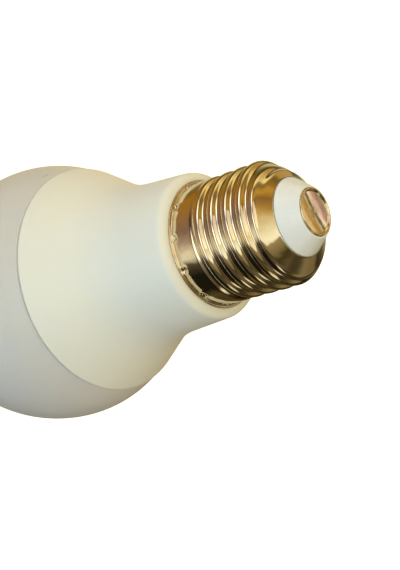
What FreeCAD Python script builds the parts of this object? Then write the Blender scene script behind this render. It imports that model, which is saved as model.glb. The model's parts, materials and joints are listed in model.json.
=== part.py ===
"""A smart LED lamp with an Edison screw cap, as an assembly of its separate pieces.

The lamp hangs cap up. The origin is the middle of the centre contact's outer face, +Z runs along the
lamp's axis from the globe to the cap, and a depth is a distance below the contact, so z = -depth.
All sizes are in millimetres.
"""

import FreeCAD
import Part
import math
import os
from FreeCAD import Vector

# Whole lamp
lamp_length = 108.0
globe_diameter = 60.0
globe_depth = 75.0  # the globe's widest plane
cone_deg = 29.5  # the straight flank above the globe, from the axis
seam_depth = 59.6  # where the housing ends and the dome begins

# Collar and neck of the housing
cap_length = 26.6  # contact face to collar face
collar_land = 0.3  # flat ring between the cap's flange and the collar's rounded edge
collar_edge = 1.9
neck_taper_deg = 4.5
neck_fillet = 26.0

# Walls
housing_wall = 1.8
end_wall = 2.0
dome_wall = 1.4
sink_wall = 1.0
sink_plate = 1.2
sleeve_wall = 0.8
sheet = 0.35  # the cap's drawn metal

# Clearances
slip = 0.1  # between pieces that are pushed together
loose = 0.3  # between pieces that only stand near each other
running = 0.05  # a screw in its hole

# Screw shell
thread_major = 26.2
thread_depth = 1.05
thread_pitch = 3.629
thread_phase_deg = 184.6  # the direction in which a crest lies at crest_depth
crest_depth = 13.4
shoulder_deg = 30.0  # the cone round the insulator, from the flat
shoulder_radius = 3.5
shell_mouth_diameter = 16.4
shell_mouth_depth = 4.2
thread_start = 6.0  # the groove grows in over thread_run from here
thread_run = 2.2
entry_sink = 1.2  # the first groove is wider where the rollers went in
entry_deg = (60.0, 115.0, 190.0, 240.0)  # begins, full from, full to, ends
entry_top = (5.0, 6.2)  # its upper side: begins, full from
entry_blend = 0.9
skirt_height = 4.0  # plain part of the cap, up from the collar face
skirt_band = 0.7  # between the groove's end and the skirt
skirt_overlap = 0.5  # how far the rolled part reaches into the skirt
skirt_step = 0.03  # how far the skirt stands out from the crests
flange_width = 0.57  # beyond the skirt
flange_fillet = 0.35
crimp_count = 12
crimp_first_deg = 15.0
crimp_radius = 0.7
crimp_bite = 0.35
crimp_above_flange = 0.85
flange_recess = 0.2

# Insulator and centre contact
insulator_tip_diameter = 10.9
insulator_tip_depth = 0.3
insulator_foot_depth = 7.4
insulator_foot_overhang = 1.0  # beyond the shell's mouth
contact_diameter = 9.8
contact_thickness = 0.9
contact_rim = 0.4
contact_slope = 0.3  # run of the dish's side
contact_dish = 0.45
shank_radius = 1.1
shank_length = 9.0
shank_bore = 1.95

# Spigot on the housing, inside the cap
spigot_top = 12.0
spigot_bore = 10.0
lead_groove_width = 1.3
lead_groove_depth = 1.1

# Seam between housing and dome
rim_skin = 0.9
rebate = 2.9
lip_gap = 0.5
lip_wall = 0.8
dome_inset = 0.15
seam_gap = 0.25

# Heat sink, thermal pad and LED board
plate_above_seam = 2.9  # the plate's upper side, towards the cap
sink_top_depth = 33.0
pad_thickness = 0.3
board_thickness = 1.0
led_board_edge = 1.6  # from the lip to the board's rim
led_ring_radius = 15.6
white_led_count = 12
white_led = (2.8, 3.5, 0.7)  # along the radius, across it, height
phosphor = (2.0, 2.6, 0.12)
colour_ring_radius = 11.4
colour_led_count = 4
colour_led = (5.0, 5.0, 1.4)
colour_window = (1.75, 0.12)  # radius, height
led_screw_count = 3
screw_circle_inset = 3.0
screw_radius = 1.25
screw_head_radius = 2.1
screw_head_height = 1.5
screw_length = 3.6

# Driver
driver_thickness = 1.2
tongue_width = 16.0
tongue_top = 14.5
driver_bottom = 54.4
driver_shoulder = 31.5
sleeve_bottom = 53.0

# Pieces on the driver: x is across its board, a depth is the piece's middle and a top its upper end
bulk_diameter = 8.0
bulk_length = 13.0
bulk_top = 15.5
bulk_lead_pitch = 3.5
output_diameter = 4.6
output_length = 9.0
output_top = 41.0
output_lead_pitch = 2.0
output_gap = 0.35  # from the transformer's ferrite to the can
can_lead_radius = 0.25
part_lead_radius = 0.3
lead_bend = 0.6
fuse_x = -4.9
fuse_top = 17.6
fuse_radius = 1.5
fuse_length = 7.0
varistor_x = 4.4
varistor_depth = 24.0
varistor_radius = 2.9
varistor_thickness = 2.6
varistor_edge = 0.9
choke_inset = 5.8  # from the sleeve's bore to the choke's middle
choke_depth = 35.6
choke_height = 6.6
choke_flange = (3.0, 1.0)  # radius, thickness
choke_drum_radius = 1.6
choke_winding_radius = 2.7
film_x = 4.6
film_depth = 35.4
film_size = (8.0, 7.0, 4.0)  # wide, high, long
transformer_depth = 44.6
transformer_ferrite = (10.2, 5.6, 10.4)  # wide, high, long
transformer_limbs = (1.5, 1.4)  # the frame's sides and its ends
transformer_leg = 2.6
transformer_pin_pitch = 2.8
transformer_pin_rows = 9.2
bobbin_wall = 0.6
bobbin_flange = 0.7
bobbin_foot = 1.3
winding_round = 1.2
# moulded chips: place (x, depth), size (wide, long, high), leads on each side and their pitch
rectifier = ((-3.6, 35.0), (3.8, 4.7, 2.2), 2, 2.5)
driver_chip = ((4.4, 35.4), (3.9, 4.9, 1.4), 4, 1.27)
output_diode = ((6.9, 47.0), (2.6, 4.2, 2.0), 1, 1.0)
leg_width = 0.4
leg_sheet = 0.2
leg_reach = 1.1
solder_film = 0.02
chip_inset = 4.0  # from the sleeve's bore to the outer chip resistors
chip_resistor = (2.0, 1.25, 0.5)
chip_capacitor = (1.6, 0.8, 0.8)

# Wireless module
module_width = 16.0
module_length = 27.0
module_thickness = 0.8
module_top = 42.0
module_plane = -5.4  # the middle of its board, from the driver's
shield = (12.0, 11.0, 1.8)
shield_wall = 0.2
radio = (5.0, 5.0, 0.85)
copper = 0.1
antenna_track = 0.6
antenna_teeth = 6
antenna_height = 4.8
antenna_margin = 0.8  # from the module's end

# Pin strips
header_pitch = 2.0
header_pins = 5
header_pin = 0.5
header_plane = driver_thickness / 2 + 1.0

# Leads
lead_radius = 0.35


def place(radius, depth, angle_deg=0.0):
    """The point at that radius, depth and direction round the axis."""
    a = math.radians(angle_deg)
    return Vector(radius * math.cos(a), radius * math.sin(a), -depth)


def box(x, y, depth):
    """A block between the given low and high values of x, y and depth."""
    size = (x[1] - x[0], y[1] - y[0], depth[1] - depth[0])
    return Part.makeBox(*size, Vector(x[0], y[0], -depth[1]))


def rod(radius, top, bottom, x=0.0, y=0.0):
    """An upright cylinder between two depths."""
    return Part.makeCylinder(radius, bottom - top, Vector(x, y, -bottom))


def ring(outer, inner, top, bottom):
    return rod(outer, top, bottom).cut(rod(inner, top - 1, bottom + 1))


def slab(top, bottom):
    """Everything near the lamp between two depths."""
    reach = globe_diameter
    return box((-reach, reach), (-reach, reach), (top, bottom))


def turned(edges):
    """The solid that a closed outline in the XZ plane sweeps round the axis."""
    outline = Part.Wire(Part.__sortEdges__(edges))
    return Part.Face(outline).revolve(Vector(), Vector(0, 0, 1), 360)


def turned_points(points):
    """The same for an outline of straight lines, given as (radius, depth) points."""
    corners = [place(*p) for p in points]
    return Part.Face(Part.makePolygon(corners + corners[:1])).revolve(Vector(), Vector(0, 0, 1), 360)


def line(a, b):
    return Part.LineSegment(place(*a), place(*b)).toShape()


def arc(a, middle, b):
    return Part.Arc(place(*a), place(*middle), place(*b)).toShape()


def round_the_axis(shape, count, first_deg):
    """Copies of a shape made at direction 0, evenly spaced round the axis."""
    copies = []
    for i in range(count):
        copy = shape.copy()
        copy.rotate(Vector(), Vector(0, 0, 1), first_deg + i * 360.0 / count)
        copies.append(copy)
    return copies


def wire_along(points, radius, bend):
    """A round wire through straight runs joined by arcs of one bend radius."""
    edges = []
    start = points[0]
    for before, corner, after in zip(points, points[1:], points[2:]):
        a = (before - corner).normalize()
        b = (after - corner).normalize()
        half = a.getAngle(b) / 2
        reach = bend / math.tan(half)
        centre = corner + (a + b).normalize() * (bend / math.sin(half))
        first = corner + a * reach
        last = corner + b * reach
        middle = centre + (corner - centre).normalize() * bend
        edges.append(Part.LineSegment(start, first).toShape())
        edges.append(Part.Arc(first, middle, last).toShape())
        start = last
    edges.append(Part.LineSegment(start, points[-1]).toShape())
    circle = Part.Circle(points[0], points[1] - points[0], radius)
    return Part.Wire(edges).makePipeShell([Part.Wire(circle.toShape())], True, False)


def save(name, *shapes):
    shape = shapes[0] if len(shapes) == 1 else Part.makeCompound(list(shapes))
    shape.exportStep("parts/" + name + ".step")
    solids = shape.Solids
    state = "ok" if all(s.isValid() for s in solids) else "NOT VALID"
    print(f"{name}: {len(solids)} solid(s), {sum(s.Volume for s in solids):.1f} mm3, {state}")


# The lamp's outer skin: a rounded collar, a tapering neck, a fillet, a cone and the globe.
# An offset is a distance inwards from it.

globe_radius = globe_diameter / 2
crest_radius = thread_major / 2
skirt_radius = crest_radius + skirt_step
flange_radius = skirt_radius + flange_width
collar_radius = flange_radius + collar_land + collar_edge
cone = math.radians(cone_deg)
taper = math.radians(neck_taper_deg)


def skin_points(offset):
    """The (radius, depth) points between which the skin is straight or round."""
    neck_out = (math.cos(taper), -math.sin(taper))
    edge = collar_edge - offset
    edge_centre = (collar_radius - collar_edge, cap_length + collar_edge)
    neck = (edge_centre[0] + edge * neck_out[0], edge_centre[1] + edge * neck_out[1])
    radius = globe_radius - offset
    flank = (radius * math.cos(cone), globe_depth - radius * math.sin(cone))
    # where the neck's line and the cone's line cross, as a distance along the neck
    cross = math.sin(cone) * math.cos(taper) - math.cos(cone) * math.sin(taper)
    run = math.sin(cone) * (flank[1] - neck[1]) - math.cos(cone) * (flank[0] - neck[0])
    corner = (neck[0] + run / cross * math.sin(taper), neck[1] + run / cross * math.cos(taper))
    fillet = neck_fillet + offset
    reach = fillet * math.tan((cone - taper) / 2)
    start = (corner[0] - reach * math.sin(taper), corner[1] - reach * math.cos(taper))
    end = (corner[0] + reach * math.sin(cone), corner[1] + reach * math.cos(cone))
    centre = (start[0] + fillet * neck_out[0], start[1] + fillet * neck_out[1])
    middle = (cone + taper) / 2
    return {
        "neck": neck,
        "fillet_start": start,
        "fillet_middle": (centre[0] - fillet * math.cos(middle), centre[1] + fillet * math.sin(middle)),
        "fillet_end": end,
        "flank": flank,
    }


def skin_radius(depth, offset):
    """The skin's radius at a depth on the neck, the cone or the globe."""
    p = skin_points(offset)
    if depth <= p["fillet_start"][1]:
        return p["neck"][0] + (depth - p["neck"][1]) * math.tan(taper)
    if depth < p["fillet_end"][1]:
        fillet = neck_fillet + offset
        start = p["fillet_start"]
        centre = (start[0] + fillet * math.cos(taper), start[1] - fillet * math.sin(taper))
        return centre[0] - math.sqrt(fillet**2 - (depth - centre[1]) ** 2)
    if depth <= p["flank"][1]:
        return p["flank"][0] - (p["flank"][1] - depth) * math.tan(cone)
    return math.sqrt((globe_radius - offset) ** 2 - (depth - globe_depth) ** 2)


def core(offset, top, bottom):
    """The solid inside the skin between two depths, as far as the dome's pole."""
    p = skin_points(offset)
    radius = globe_radius - offset
    height = lamp_length - globe_depth - offset
    widest = (radius, globe_depth)
    pole = (0, globe_depth + height)
    tip = p["neck"]
    shoulder = []
    if offset < collar_edge:
        edge = collar_edge - offset
        turn = math.radians(45)
        tip = (collar_radius - collar_edge, cap_length + offset)
        halfway = (tip[0] + edge * math.cos(turn), tip[1] + edge - edge * math.sin(turn))
        shoulder = [arc(tip, halfway, p["neck"])]
    half = cone / 2
    bulge = (radius * math.cos(half), globe_depth - radius * math.sin(half))
    edges = shoulder + [
        line((0, tip[1]), tip),
        line(p["neck"], p["fillet_start"]),
        arc(p["fillet_start"], p["fillet_middle"], p["fillet_end"]),
        line(p["fillet_end"], p["flank"]),
        arc(p["flank"], bulge, widest),
        quarter_ellipse(widest, pole),
        line(pole, (0, tip[1])),
    ]
    return turned(edges).common(slab(top, bottom))


def quarter_ellipse(widest, pole):
    """The dome's outline from the globe's widest plane to its pole."""
    radius = widest[0]
    height = pole[1] - widest[1]
    half = math.radians(45)
    if abs(radius - height) < 0.001:
        return arc(widest, (radius * math.cos(half), widest[1] + radius * math.sin(half)), pole)
    far, near = (pole, widest) if height > radius else (widest, pole)
    ellipse = Part.Ellipse(place(*far), place(*near), place(0, widest[1]))
    first, last = sorted(ellipse.parameter(place(*v)) for v in (pole, widest))
    if last - first > math.pi:
        first, last = last, first + 2 * math.pi
    return Part.ArcOfEllipse(ellipse, first, last).toShape()


# Depths that pieces share, from the cap down

root_radius = crest_radius - thread_depth
mouth_radius = shell_mouth_diameter / 2
skirt_bore = skirt_radius - sheet
skirt_depth = cap_length - skirt_height
thread_end = skirt_depth - skirt_band
collar_floor = cap_length + flange_recess
crimp_depth = collar_floor - sheet - crimp_above_flange
spigot_skirt_radius = skirt_bore - slip
spigot_thread_radius = root_radius - sheet - slip
rebate_depth = seam_depth - rebate
lip_end = rebate_depth + lip_gap
plate_top = seam_depth - plate_above_seam
plate_bottom = plate_top + sink_plate
pad_bottom = plate_bottom + pad_thickness
board_bottom = pad_bottom + board_thickness
inside_depth = cap_length + end_wall
sink_offset = housing_wall + slip
sleeve_radius = skin_radius(sink_top_depth, sink_offset + sink_wall) - loose
sleeve_bore = sleeve_radius - sleeve_wall
led_board_radius = skin_radius(pad_bottom, housing_wall) - led_board_edge
screw_circle = led_board_radius - screw_circle_inset


def shoulder_profile(depth):
    """The shell's radius without its thread: a cone, an arc, then the crest radius."""
    slope = math.radians(shoulder_deg)
    turn = math.pi / 2 - slope
    corner = shell_mouth_depth + (crest_radius - mouth_radius) * math.tan(slope)
    reach = shoulder_radius * math.tan(turn / 2)
    arc_end = corner + reach
    arc_start = corner - reach * math.sin(slope)
    if depth >= arc_end:
        return crest_radius
    if depth <= arc_start:
        return mouth_radius + (depth - shell_mouth_depth) / math.tan(slope)
    drop = math.sqrt(shoulder_radius**2 - (arc_end - depth) ** 2)
    return crest_radius - shoulder_radius + drop


def ease(low, high, value):
    """0 up to low, 1 from high, and an S-curve between them."""
    t = min(1.0, max(0.0, (value - low) / (high - low)))
    return t * t * (3 - 2 * t)


def entry_share(depth, angle):
    """How much of the wide entry of the first groove there is: 0 to 1."""
    begins, full_from, full_to, ends = entry_deg
    around = math.degrees(angle)
    first_groove = crest_depth - thread_pitch * (1.5 + (around - thread_phase_deg) / 360)
    across = ease(begins, full_from, around) * (1 - ease(full_to, ends, around))
    return across * ease(*entry_top, depth) * (1 - ease(first_groove, first_groove + entry_blend, depth))


def groove(depth, angle):
    """How far the rolled thread sinks the shell there: crests and roots are equal arcs."""
    height = crest_radius - root_radius
    quarter = thread_pitch / 4
    arc_radius = (quarter**2 + (height / 2) ** 2) / height
    turns = (depth - crest_depth) / thread_pitch + (angle - math.radians(thread_phase_deg)) / (2 * math.pi)
    along = (turns - math.floor(turns + 0.5)) * thread_pitch
    near_root = abs(along) > quarter
    from_middle = abs(along) - 2 * quarter if near_root else along
    sagitta = arc_radius - math.sqrt(arc_radius**2 - from_middle**2)
    depth_here = height - sagitta if near_root else sagitta
    grown = ease(thread_start, thread_start + thread_run, depth)
    left = 1 - ease(thread_end - thread_run, thread_end, depth)
    sunk = depth_here * grown * left
    return sunk + (entry_sink - sunk) * entry_share(depth, angle)


def shell_radius(depth, angle, inwards):
    """The threaded shell's outer radius, or that of its inner side where inwards is the sheet."""
    step = 0.02
    low = max(shell_mouth_depth, depth - step)
    high = depth + step
    outer = shoulder_profile(depth) - groove(depth, angle)
    rise = (shoulder_profile(high) - groove(high, angle)) - (shoulder_profile(low) - groove(low, angle))
    return outer - inwards * math.hypot(1, rise / (high - low))


def threaded_side(inwards):
    """The outer or inner side of the threaded part as one smooth surface, from the mouth into the skirt."""
    around = 48
    rows = 96
    end = skirt_depth + skirt_overlap
    angles = [2 * math.pi * i / around for i in range(around + 1)]
    depths = [shell_mouth_depth + (end - shell_mouth_depth) * j / rows for j in range(rows + 1)]
    curves = []
    for depth in depths:
        row = Part.BSplineCurve()
        points = [place(shell_radius(depth, a, inwards), depth, math.degrees(a)) for a in angles[:-1]]
        row.interpolate(Points=points, PeriodicFlag=True, Parameters=angles)
        curves.append(row)
    columns = []
    for poles in zip(*(row.getPoles() for row in curves)):
        column = Part.BSplineCurve()
        column.interpolate(Points=list(poles), Parameters=depths)
        columns.append(column)
    surface = Part.BSplineSurface()
    surface.buildFromPolesMultsKnots(
        [column.getPoles() for column in columns],
        curves[0].getMultiplicities(),
        columns[0].getMultiplicities(),
        curves[0].getKnots(),
        columns[0].getKnots(),
        True,
        False,
        curves[0].Degree,
        columns[0].Degree,
    )
    return surface.toShape()


def threaded_tube():
    """The rolled part of the shell: two threaded sides joined by a flat ring at each end."""
    sides = [threaded_side(0.0), threaded_side(sheet)]
    rims = []
    for side in sides:
        ends = [e for e in side.Edges if e.isClosed() and e.BoundBox.ZLength < 0.01]
        rims.append(sorted(ends, key=lambda e: e.BoundBox.ZMax))
    rings = []
    for outer, inner in zip(*rims):
        rings += Part.Face(Part.Wire(outer)).cut(Part.Face(Part.Wire(inner))).Faces
    shell = Part.makeShell(sides + rings)
    shell.sewShape()
    solid = Part.Solid(shell)
    if solid.Volume < 0:
        solid.reverse()
    return solid


def skirt():
    """The plain skirt below the thread, with its turned-out flange."""
    bend_top = collar_floor - sheet - flange_fillet
    bend = flange_fillet * (1 - math.cos(math.radians(45)))
    flange_top = collar_floor - sheet
    lip = sheet / 2
    edges = [
        line((skirt_bore, skirt_depth), (skirt_radius, skirt_depth)),
        line((skirt_radius, skirt_depth), (skirt_radius, bend_top)),
        arc(
            (skirt_radius, bend_top),
            (skirt_radius + bend, flange_top - bend),
            (skirt_radius + flange_fillet, flange_top),
        ),
        line((skirt_radius + flange_fillet, flange_top), (flange_radius - lip, flange_top)),
        arc(
            (flange_radius - lip, flange_top),
            (flange_radius, flange_top + lip),
            (flange_radius - lip, collar_floor),
        ),
        line((flange_radius - lip, collar_floor), (skirt_bore, collar_floor)),
        line((skirt_bore, collar_floor), (skirt_bore, skirt_depth)),
    ]
    return turned(edges)


def crimps(radius):
    """Balls of that radius at the crimps, sunk by the punch's bite."""
    centre = place(skirt_radius - crimp_bite + crimp_radius, crimp_depth)
    return round_the_axis(Part.makeSphere(radius, centre), crimp_count, crimp_first_deg)


def screw_shell():
    lower = skirt()
    inside = rod(skirt_radius - sheet / 2, skirt_depth, collar_floor)
    bulges = Part.makeCompound(crimps(crimp_radius + sheet)).common(inside)
    lower = lower.fuse(bulges).cut(Part.makeCompound(crimps(crimp_radius)))
    return threaded_tube().fuse(lower).removeSplitter()


def cap_insulator():
    """The white cone round the contact, with a foot that fills the shell's shoulder from inside."""
    tip = insulator_tip_diameter / 2
    nose = 0.35
    slope = math.radians(shoulder_deg)
    neck = shell_radius(shell_mouth_depth, 0, sheet) - slip
    foot_top = shell_mouth_depth + (sheet + slip) / math.cos(slope)
    foot_radius = mouth_radius + insulator_foot_overhang
    bearing = foot_top + (foot_radius - mouth_radius) * math.tan(slope)
    start = (foot_top + (neck - mouth_radius) * math.tan(slope)) + slip
    lean = (mouth_radius - slip - tip) / (shell_mouth_depth - insulator_tip_depth)
    outer = [
        (0, insulator_tip_depth),
        (tip - nose, insulator_tip_depth),
        (tip, insulator_tip_depth + nose * 0.6),
        (mouth_radius - slip - lean * 0.1, shell_mouth_depth - 0.1),
        (mouth_radius - slip, shell_mouth_depth - 0.02),
        (neck, shell_mouth_depth - 0.02),
        (neck, start),
        (foot_radius, bearing + slip),
        (foot_radius, insulator_foot_depth),
        (0, insulator_foot_depth),
    ]
    body = turned_points(outer)
    seat = contact_thickness + running
    body = body.cut(rod(contact_diameter / 2 + running, -1, seat))
    return body.cut(rod(shank_bore, 0, insulator_foot_depth + 1))


def centre_contact():
    """A nail: a dished disc with a raised rim, on a shank that grips the live lead."""
    radius = contact_diameter / 2
    edge = 0.15
    turn = edge * (1 - math.cos(math.radians(45)))
    inner = radius - contact_rim
    edges = [
        line((0, contact_dish), (inner - contact_slope, contact_dish)),
        line((inner - contact_slope, contact_dish), (inner, 0)),
        line((inner, 0), (radius - edge, 0)),
        arc((radius - edge, 0), (radius - turn, turn), (radius, edge)),
        line((radius, edge), (radius, contact_thickness)),
        line((radius, contact_thickness), (shank_radius, contact_thickness)),
        line((shank_radius, contact_thickness), (shank_radius, shank_length - shank_radius)),
        line((shank_radius, shank_length - shank_radius), (0.3, shank_length)),
        line((0.3, shank_length), (0, shank_length)),
        line((0, shank_length), (0, contact_dish)),
    ]
    return turned(edges)


def lead_groove():
    """The slot down the spigot's side in which the neutral lead is trapped against the shell."""
    inner = spigot_thread_radius - lead_groove_depth
    half = lead_groove_width / 2
    return box((-spigot_thread_radius - 1, -inner), (-half, half), (spigot_top - 1, skirt_depth - slip))


def housing():
    body = core(0, cap_length, seam_depth).cut(core(housing_wall, inside_depth, seam_depth + 1))
    spigot = rod(spigot_skirt_radius, skirt_depth + slip, inside_depth)
    spigot = spigot.fuse(rod(spigot_thread_radius, spigot_top, inside_depth))
    body = body.fuse(spigot).cut(rod(spigot_bore, spigot_top - 1, inside_depth + 1))
    recess = ring(flange_radius + slip, spigot_skirt_radius, cap_length - 1, collar_floor)
    body = body.cut(recess)
    body = body.cut(core(rim_skin, rebate_depth, seam_depth + 1))
    body = body.cut(Part.makeCompound(crimps(crimp_radius + sheet + slip)))
    body = body.cut(lead_groove()).removeSplitter()
    rim = [
        e
        for e in body.Edges
        if e.isClosed()
        and abs(e.BoundBox.ZMax + seam_depth) < 0.01
        and e.BoundBox.XLength > 2 * (skin_radius(seam_depth, 0) - 0.05)
        and e.BoundBox.ZLength < 0.01
    ]
    return body.makeFillet(rim_skin * 0.5, rim)


def diffuser_dome():
    top = seam_depth + seam_gap
    bottom = lamp_length + 1
    shell = core(dome_inset, top, bottom).cut(core(dome_inset + dome_wall, top - 1, bottom))
    lip_outer = rim_skin + slip
    lip = core(lip_outer, lip_end, top + 1).cut(core(lip_outer + lip_wall, lip_end - 1, top + 2))
    return shell.fuse(lip).removeSplitter()


def dome_sealant():
    """The bead of silicone between the lip's end and the bottom of the rebate."""
    gap = running
    bead = core(rim_skin + gap, rebate_depth + gap, lip_end - gap)
    return bead.cut(core(housing_wall - gap, rebate_depth, lip_end + 1))


def module_slot(side):
    """The slot through plate, pad and LED board for the wireless module."""
    half = module_width / 2 + side
    thick = module_thickness / 2 + side
    y = (module_plane - thick, module_plane + thick)
    return box((-half, half), y, (plate_top - 1, board_bottom + 1))


def header_slot(side):
    """The slot for the pins that join the driver to the LED board."""
    half = header_pitch * (header_pins - 1) / 2 + header_pin / 2 + side
    y = (header_plane - header_pin / 2 - side, header_plane + header_pin / 2 + side)
    return box((-half, half), y, (plate_top - 1, board_bottom + 1))


def screw_holes(radius):
    hole = rod(radius, plate_top - 2, board_bottom + 1, x=screw_circle)
    return Part.makeCompound(round_the_axis(hole, led_screw_count, 90.0))


def heat_sink():
    """An aluminium cup that follows the housing's inside and closes in the plate under the LEDs."""
    cup = core(sink_offset, sink_top_depth, plate_bottom)
    cup = cup.cut(core(sink_offset + sink_wall, sink_top_depth - 1, plate_top))
    cup = cup.cut(module_slot(loose)).cut(header_slot(loose))
    return cup.cut(screw_holes(screw_radius + running))


def thermal_pad():
    pad = rod(led_board_radius - loose, plate_bottom, pad_bottom)
    pad = pad.cut(module_slot(loose)).cut(header_slot(loose))
    return pad.cut(screw_holes(screw_radius + loose))


def led_board():
    board = rod(led_board_radius, pad_bottom, board_bottom)
    board = board.cut(module_slot(slip)).cut(header_slot(slip))
    return board.cut(screw_holes(screw_radius + slip))


def chip_block(size, radius, top):
    """A block on the LED board, sized along the radius, across it and in height."""
    long, wide, high = size
    return box((radius - long / 2, radius + long / 2), (-wide / 2, wide / 2), (top, top + high))


def white_led_bodies():
    """The white packages, each with a shallow well that its phosphor fills."""
    body = chip_block(white_led, led_ring_radius, board_bottom)
    well = chip_block(phosphor, led_ring_radius, board_bottom + white_led[2] - phosphor[2])
    return round_the_axis(body.cut(well), white_led_count, 180.0 / white_led_count)


def phosphors(first):
    """Every second phosphor window, starting from the first or the second package."""
    window = chip_block(phosphor, led_ring_radius, board_bottom + white_led[2] - phosphor[2])
    step = 360.0 / white_led_count
    return round_the_axis(window, white_led_count // 2, step / 2 + first * step)


def colour_led_bodies():
    body = chip_block(colour_led, colour_ring_radius, board_bottom)
    radius, height = colour_window
    bottom = board_bottom + colour_led[2]
    body = body.cut(rod(radius, bottom - height, bottom + 1, x=colour_ring_radius))
    return round_the_axis(body, colour_led_count, 0.0)


def colour_led_windows():
    radius, height = colour_window
    bottom = board_bottom + colour_led[2]
    window = rod(radius, bottom - height, bottom, x=colour_ring_radius)
    return round_the_axis(window, colour_led_count, 0.0)


def led_board_screws():
    """Pan-head screws with a cross recess, from the LED side into the plate."""
    head = rod(screw_head_radius, board_bottom, board_bottom + screw_head_height)
    edges = [e for e in head.Edges if e.isClosed() and e.BoundBox.ZMax < -board_bottom - 0.1]
    head = head.makeFillet(screw_head_height * 0.4, edges)
    end = board_bottom + screw_head_height
    for wide, deep in ((2.2, 0.5), (0.5, 2.2)):
        head = head.cut(box((-wide / 2, wide / 2), (-deep / 2, deep / 2), (end - 0.8, end + 1)))
    screw = head.fuse(rod(screw_radius, end - screw_head_height - screw_length, board_bottom))
    screw.translate(Vector(screw_circle, 0, 0))
    return round_the_axis(screw, led_screw_count, 90.0)


def driver_sleeve():
    """The insulating liner of the heat sink, with two ribs each side that hold the driver's edges."""
    tube = ring(sleeve_radius, sleeve_bore, inside_depth + running, sleeve_bottom)
    grip = 2.2
    outer = driver_thickness / 2 + running
    for side in (-1, 1):
        for face in (-1, 1):
            x = sorted((side * (sleeve_bore - grip), side * (sleeve_bore + sleeve_wall / 2)))
            y = sorted((face * outer, face * (outer + 1.0)))
            rib = box(x, y, (driver_shoulder, sleeve_bottom))
            tube = tube.fuse(rib.common(rod(sleeve_radius, inside_depth, sleeve_bottom)))
    return tube.removeSplitter()


def driver_board():
    """The driver's circuit board: a wide part in the sleeve and a tongue up into the cap."""
    y = (-driver_thickness / 2, driver_thickness / 2)
    half = math.sqrt(sleeve_bore**2 - (driver_thickness / 2) ** 2) - slip
    wide = box((-half, half), y, (driver_shoulder, driver_bottom))
    tongue = box((-tongue_width / 2, tongue_width / 2), y, (tongue_top, driver_shoulder))
    return wide.fuse(tongue).removeSplitter()


face = driver_thickness / 2  # the driver's component side is at +face, its other side at -face


def pin_row(pitch, count):
    """Places along a line, evenly spaced about its middle."""
    return [(i - (count - 1) / 2) * pitch for i in range(count)]


def stub(x, depth, radius, start, end):
    """A lead at right angles to the driver board."""
    length = end - start
    return Part.makeCylinder(radius, length, Vector(x, start, -depth), Vector(0, 1, 0))


def lying_can(diameter, length, top, x):
    """A capacitor can that lies on the component side, with its bead and its rubber end."""
    radius = diameter / 2
    y = face + slip + radius
    bead = 0.35
    points = [
        (0, top),
        (radius - 0.4, top),
        (radius, top + 0.4),
        (radius, top + length - 2.2),
        (radius - bead, top + length - 1.8),
        (radius, top + length - 1.4),
        (radius, top + length - 0.3),
        (radius - 0.5, top + length),
        (0, top + length),
    ]
    can = turned_points(points)
    can.translate(Vector(x, y, 0))
    return can


def bent_leads(diameter, length, top, x, pitch):
    """The two leads of a lying can, turned down into the board."""
    y = face + slip + diameter / 2
    leads = []
    for side in (-1, 1):
        start = Vector(x + side * pitch / 2, y, -(top + length))
        corner = start + Vector(0, 0, -1.4)
        end = Vector(corner.x, -face - 0.6, corner.z)
        leads.append(wire_along([start, corner, end], can_lead_radius, lead_bend))
    return leads


choke_x = choke_inset - sleeve_bore
output_x = -(transformer_ferrite[0] / 2 + output_gap + output_diameter / 2)
chip_x = sleeve_bore - chip_inset


def input_choke():
    """A drum core and its winding, standing on the component side."""
    centre = Vector(choke_x, face + slip, -choke_depth)
    up = Vector(0, 1, 0)
    radius, thick = choke_flange
    drum = Part.makeCylinder(radius, thick, centre, up)
    drum = drum.fuse(Part.makeCylinder(choke_drum_radius, choke_height, centre, up))
    drum = drum.fuse(Part.makeCylinder(radius, thick, centre + up * (choke_height - thick), up))
    length = choke_height - 2 * (thick + running)
    winding = Part.makeCylinder(choke_winding_radius, length, centre + up * (thick + running), up)
    winding = winding.cut(Part.makeCylinder(choke_drum_radius + running, choke_height, centre, up))
    return drum.removeSplitter(), winding


def film_capacitor():
    wide, high, long = film_size
    x = (film_x - wide / 2, film_x + wide / 2)
    body = box(x, (face + slip, face + slip + high), (film_depth - long / 2, film_depth + long / 2))
    edges = [e for e in body.Edges if e.BoundBox.YLength > high / 2]
    return body.makeFillet(0.5, edges)


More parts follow.
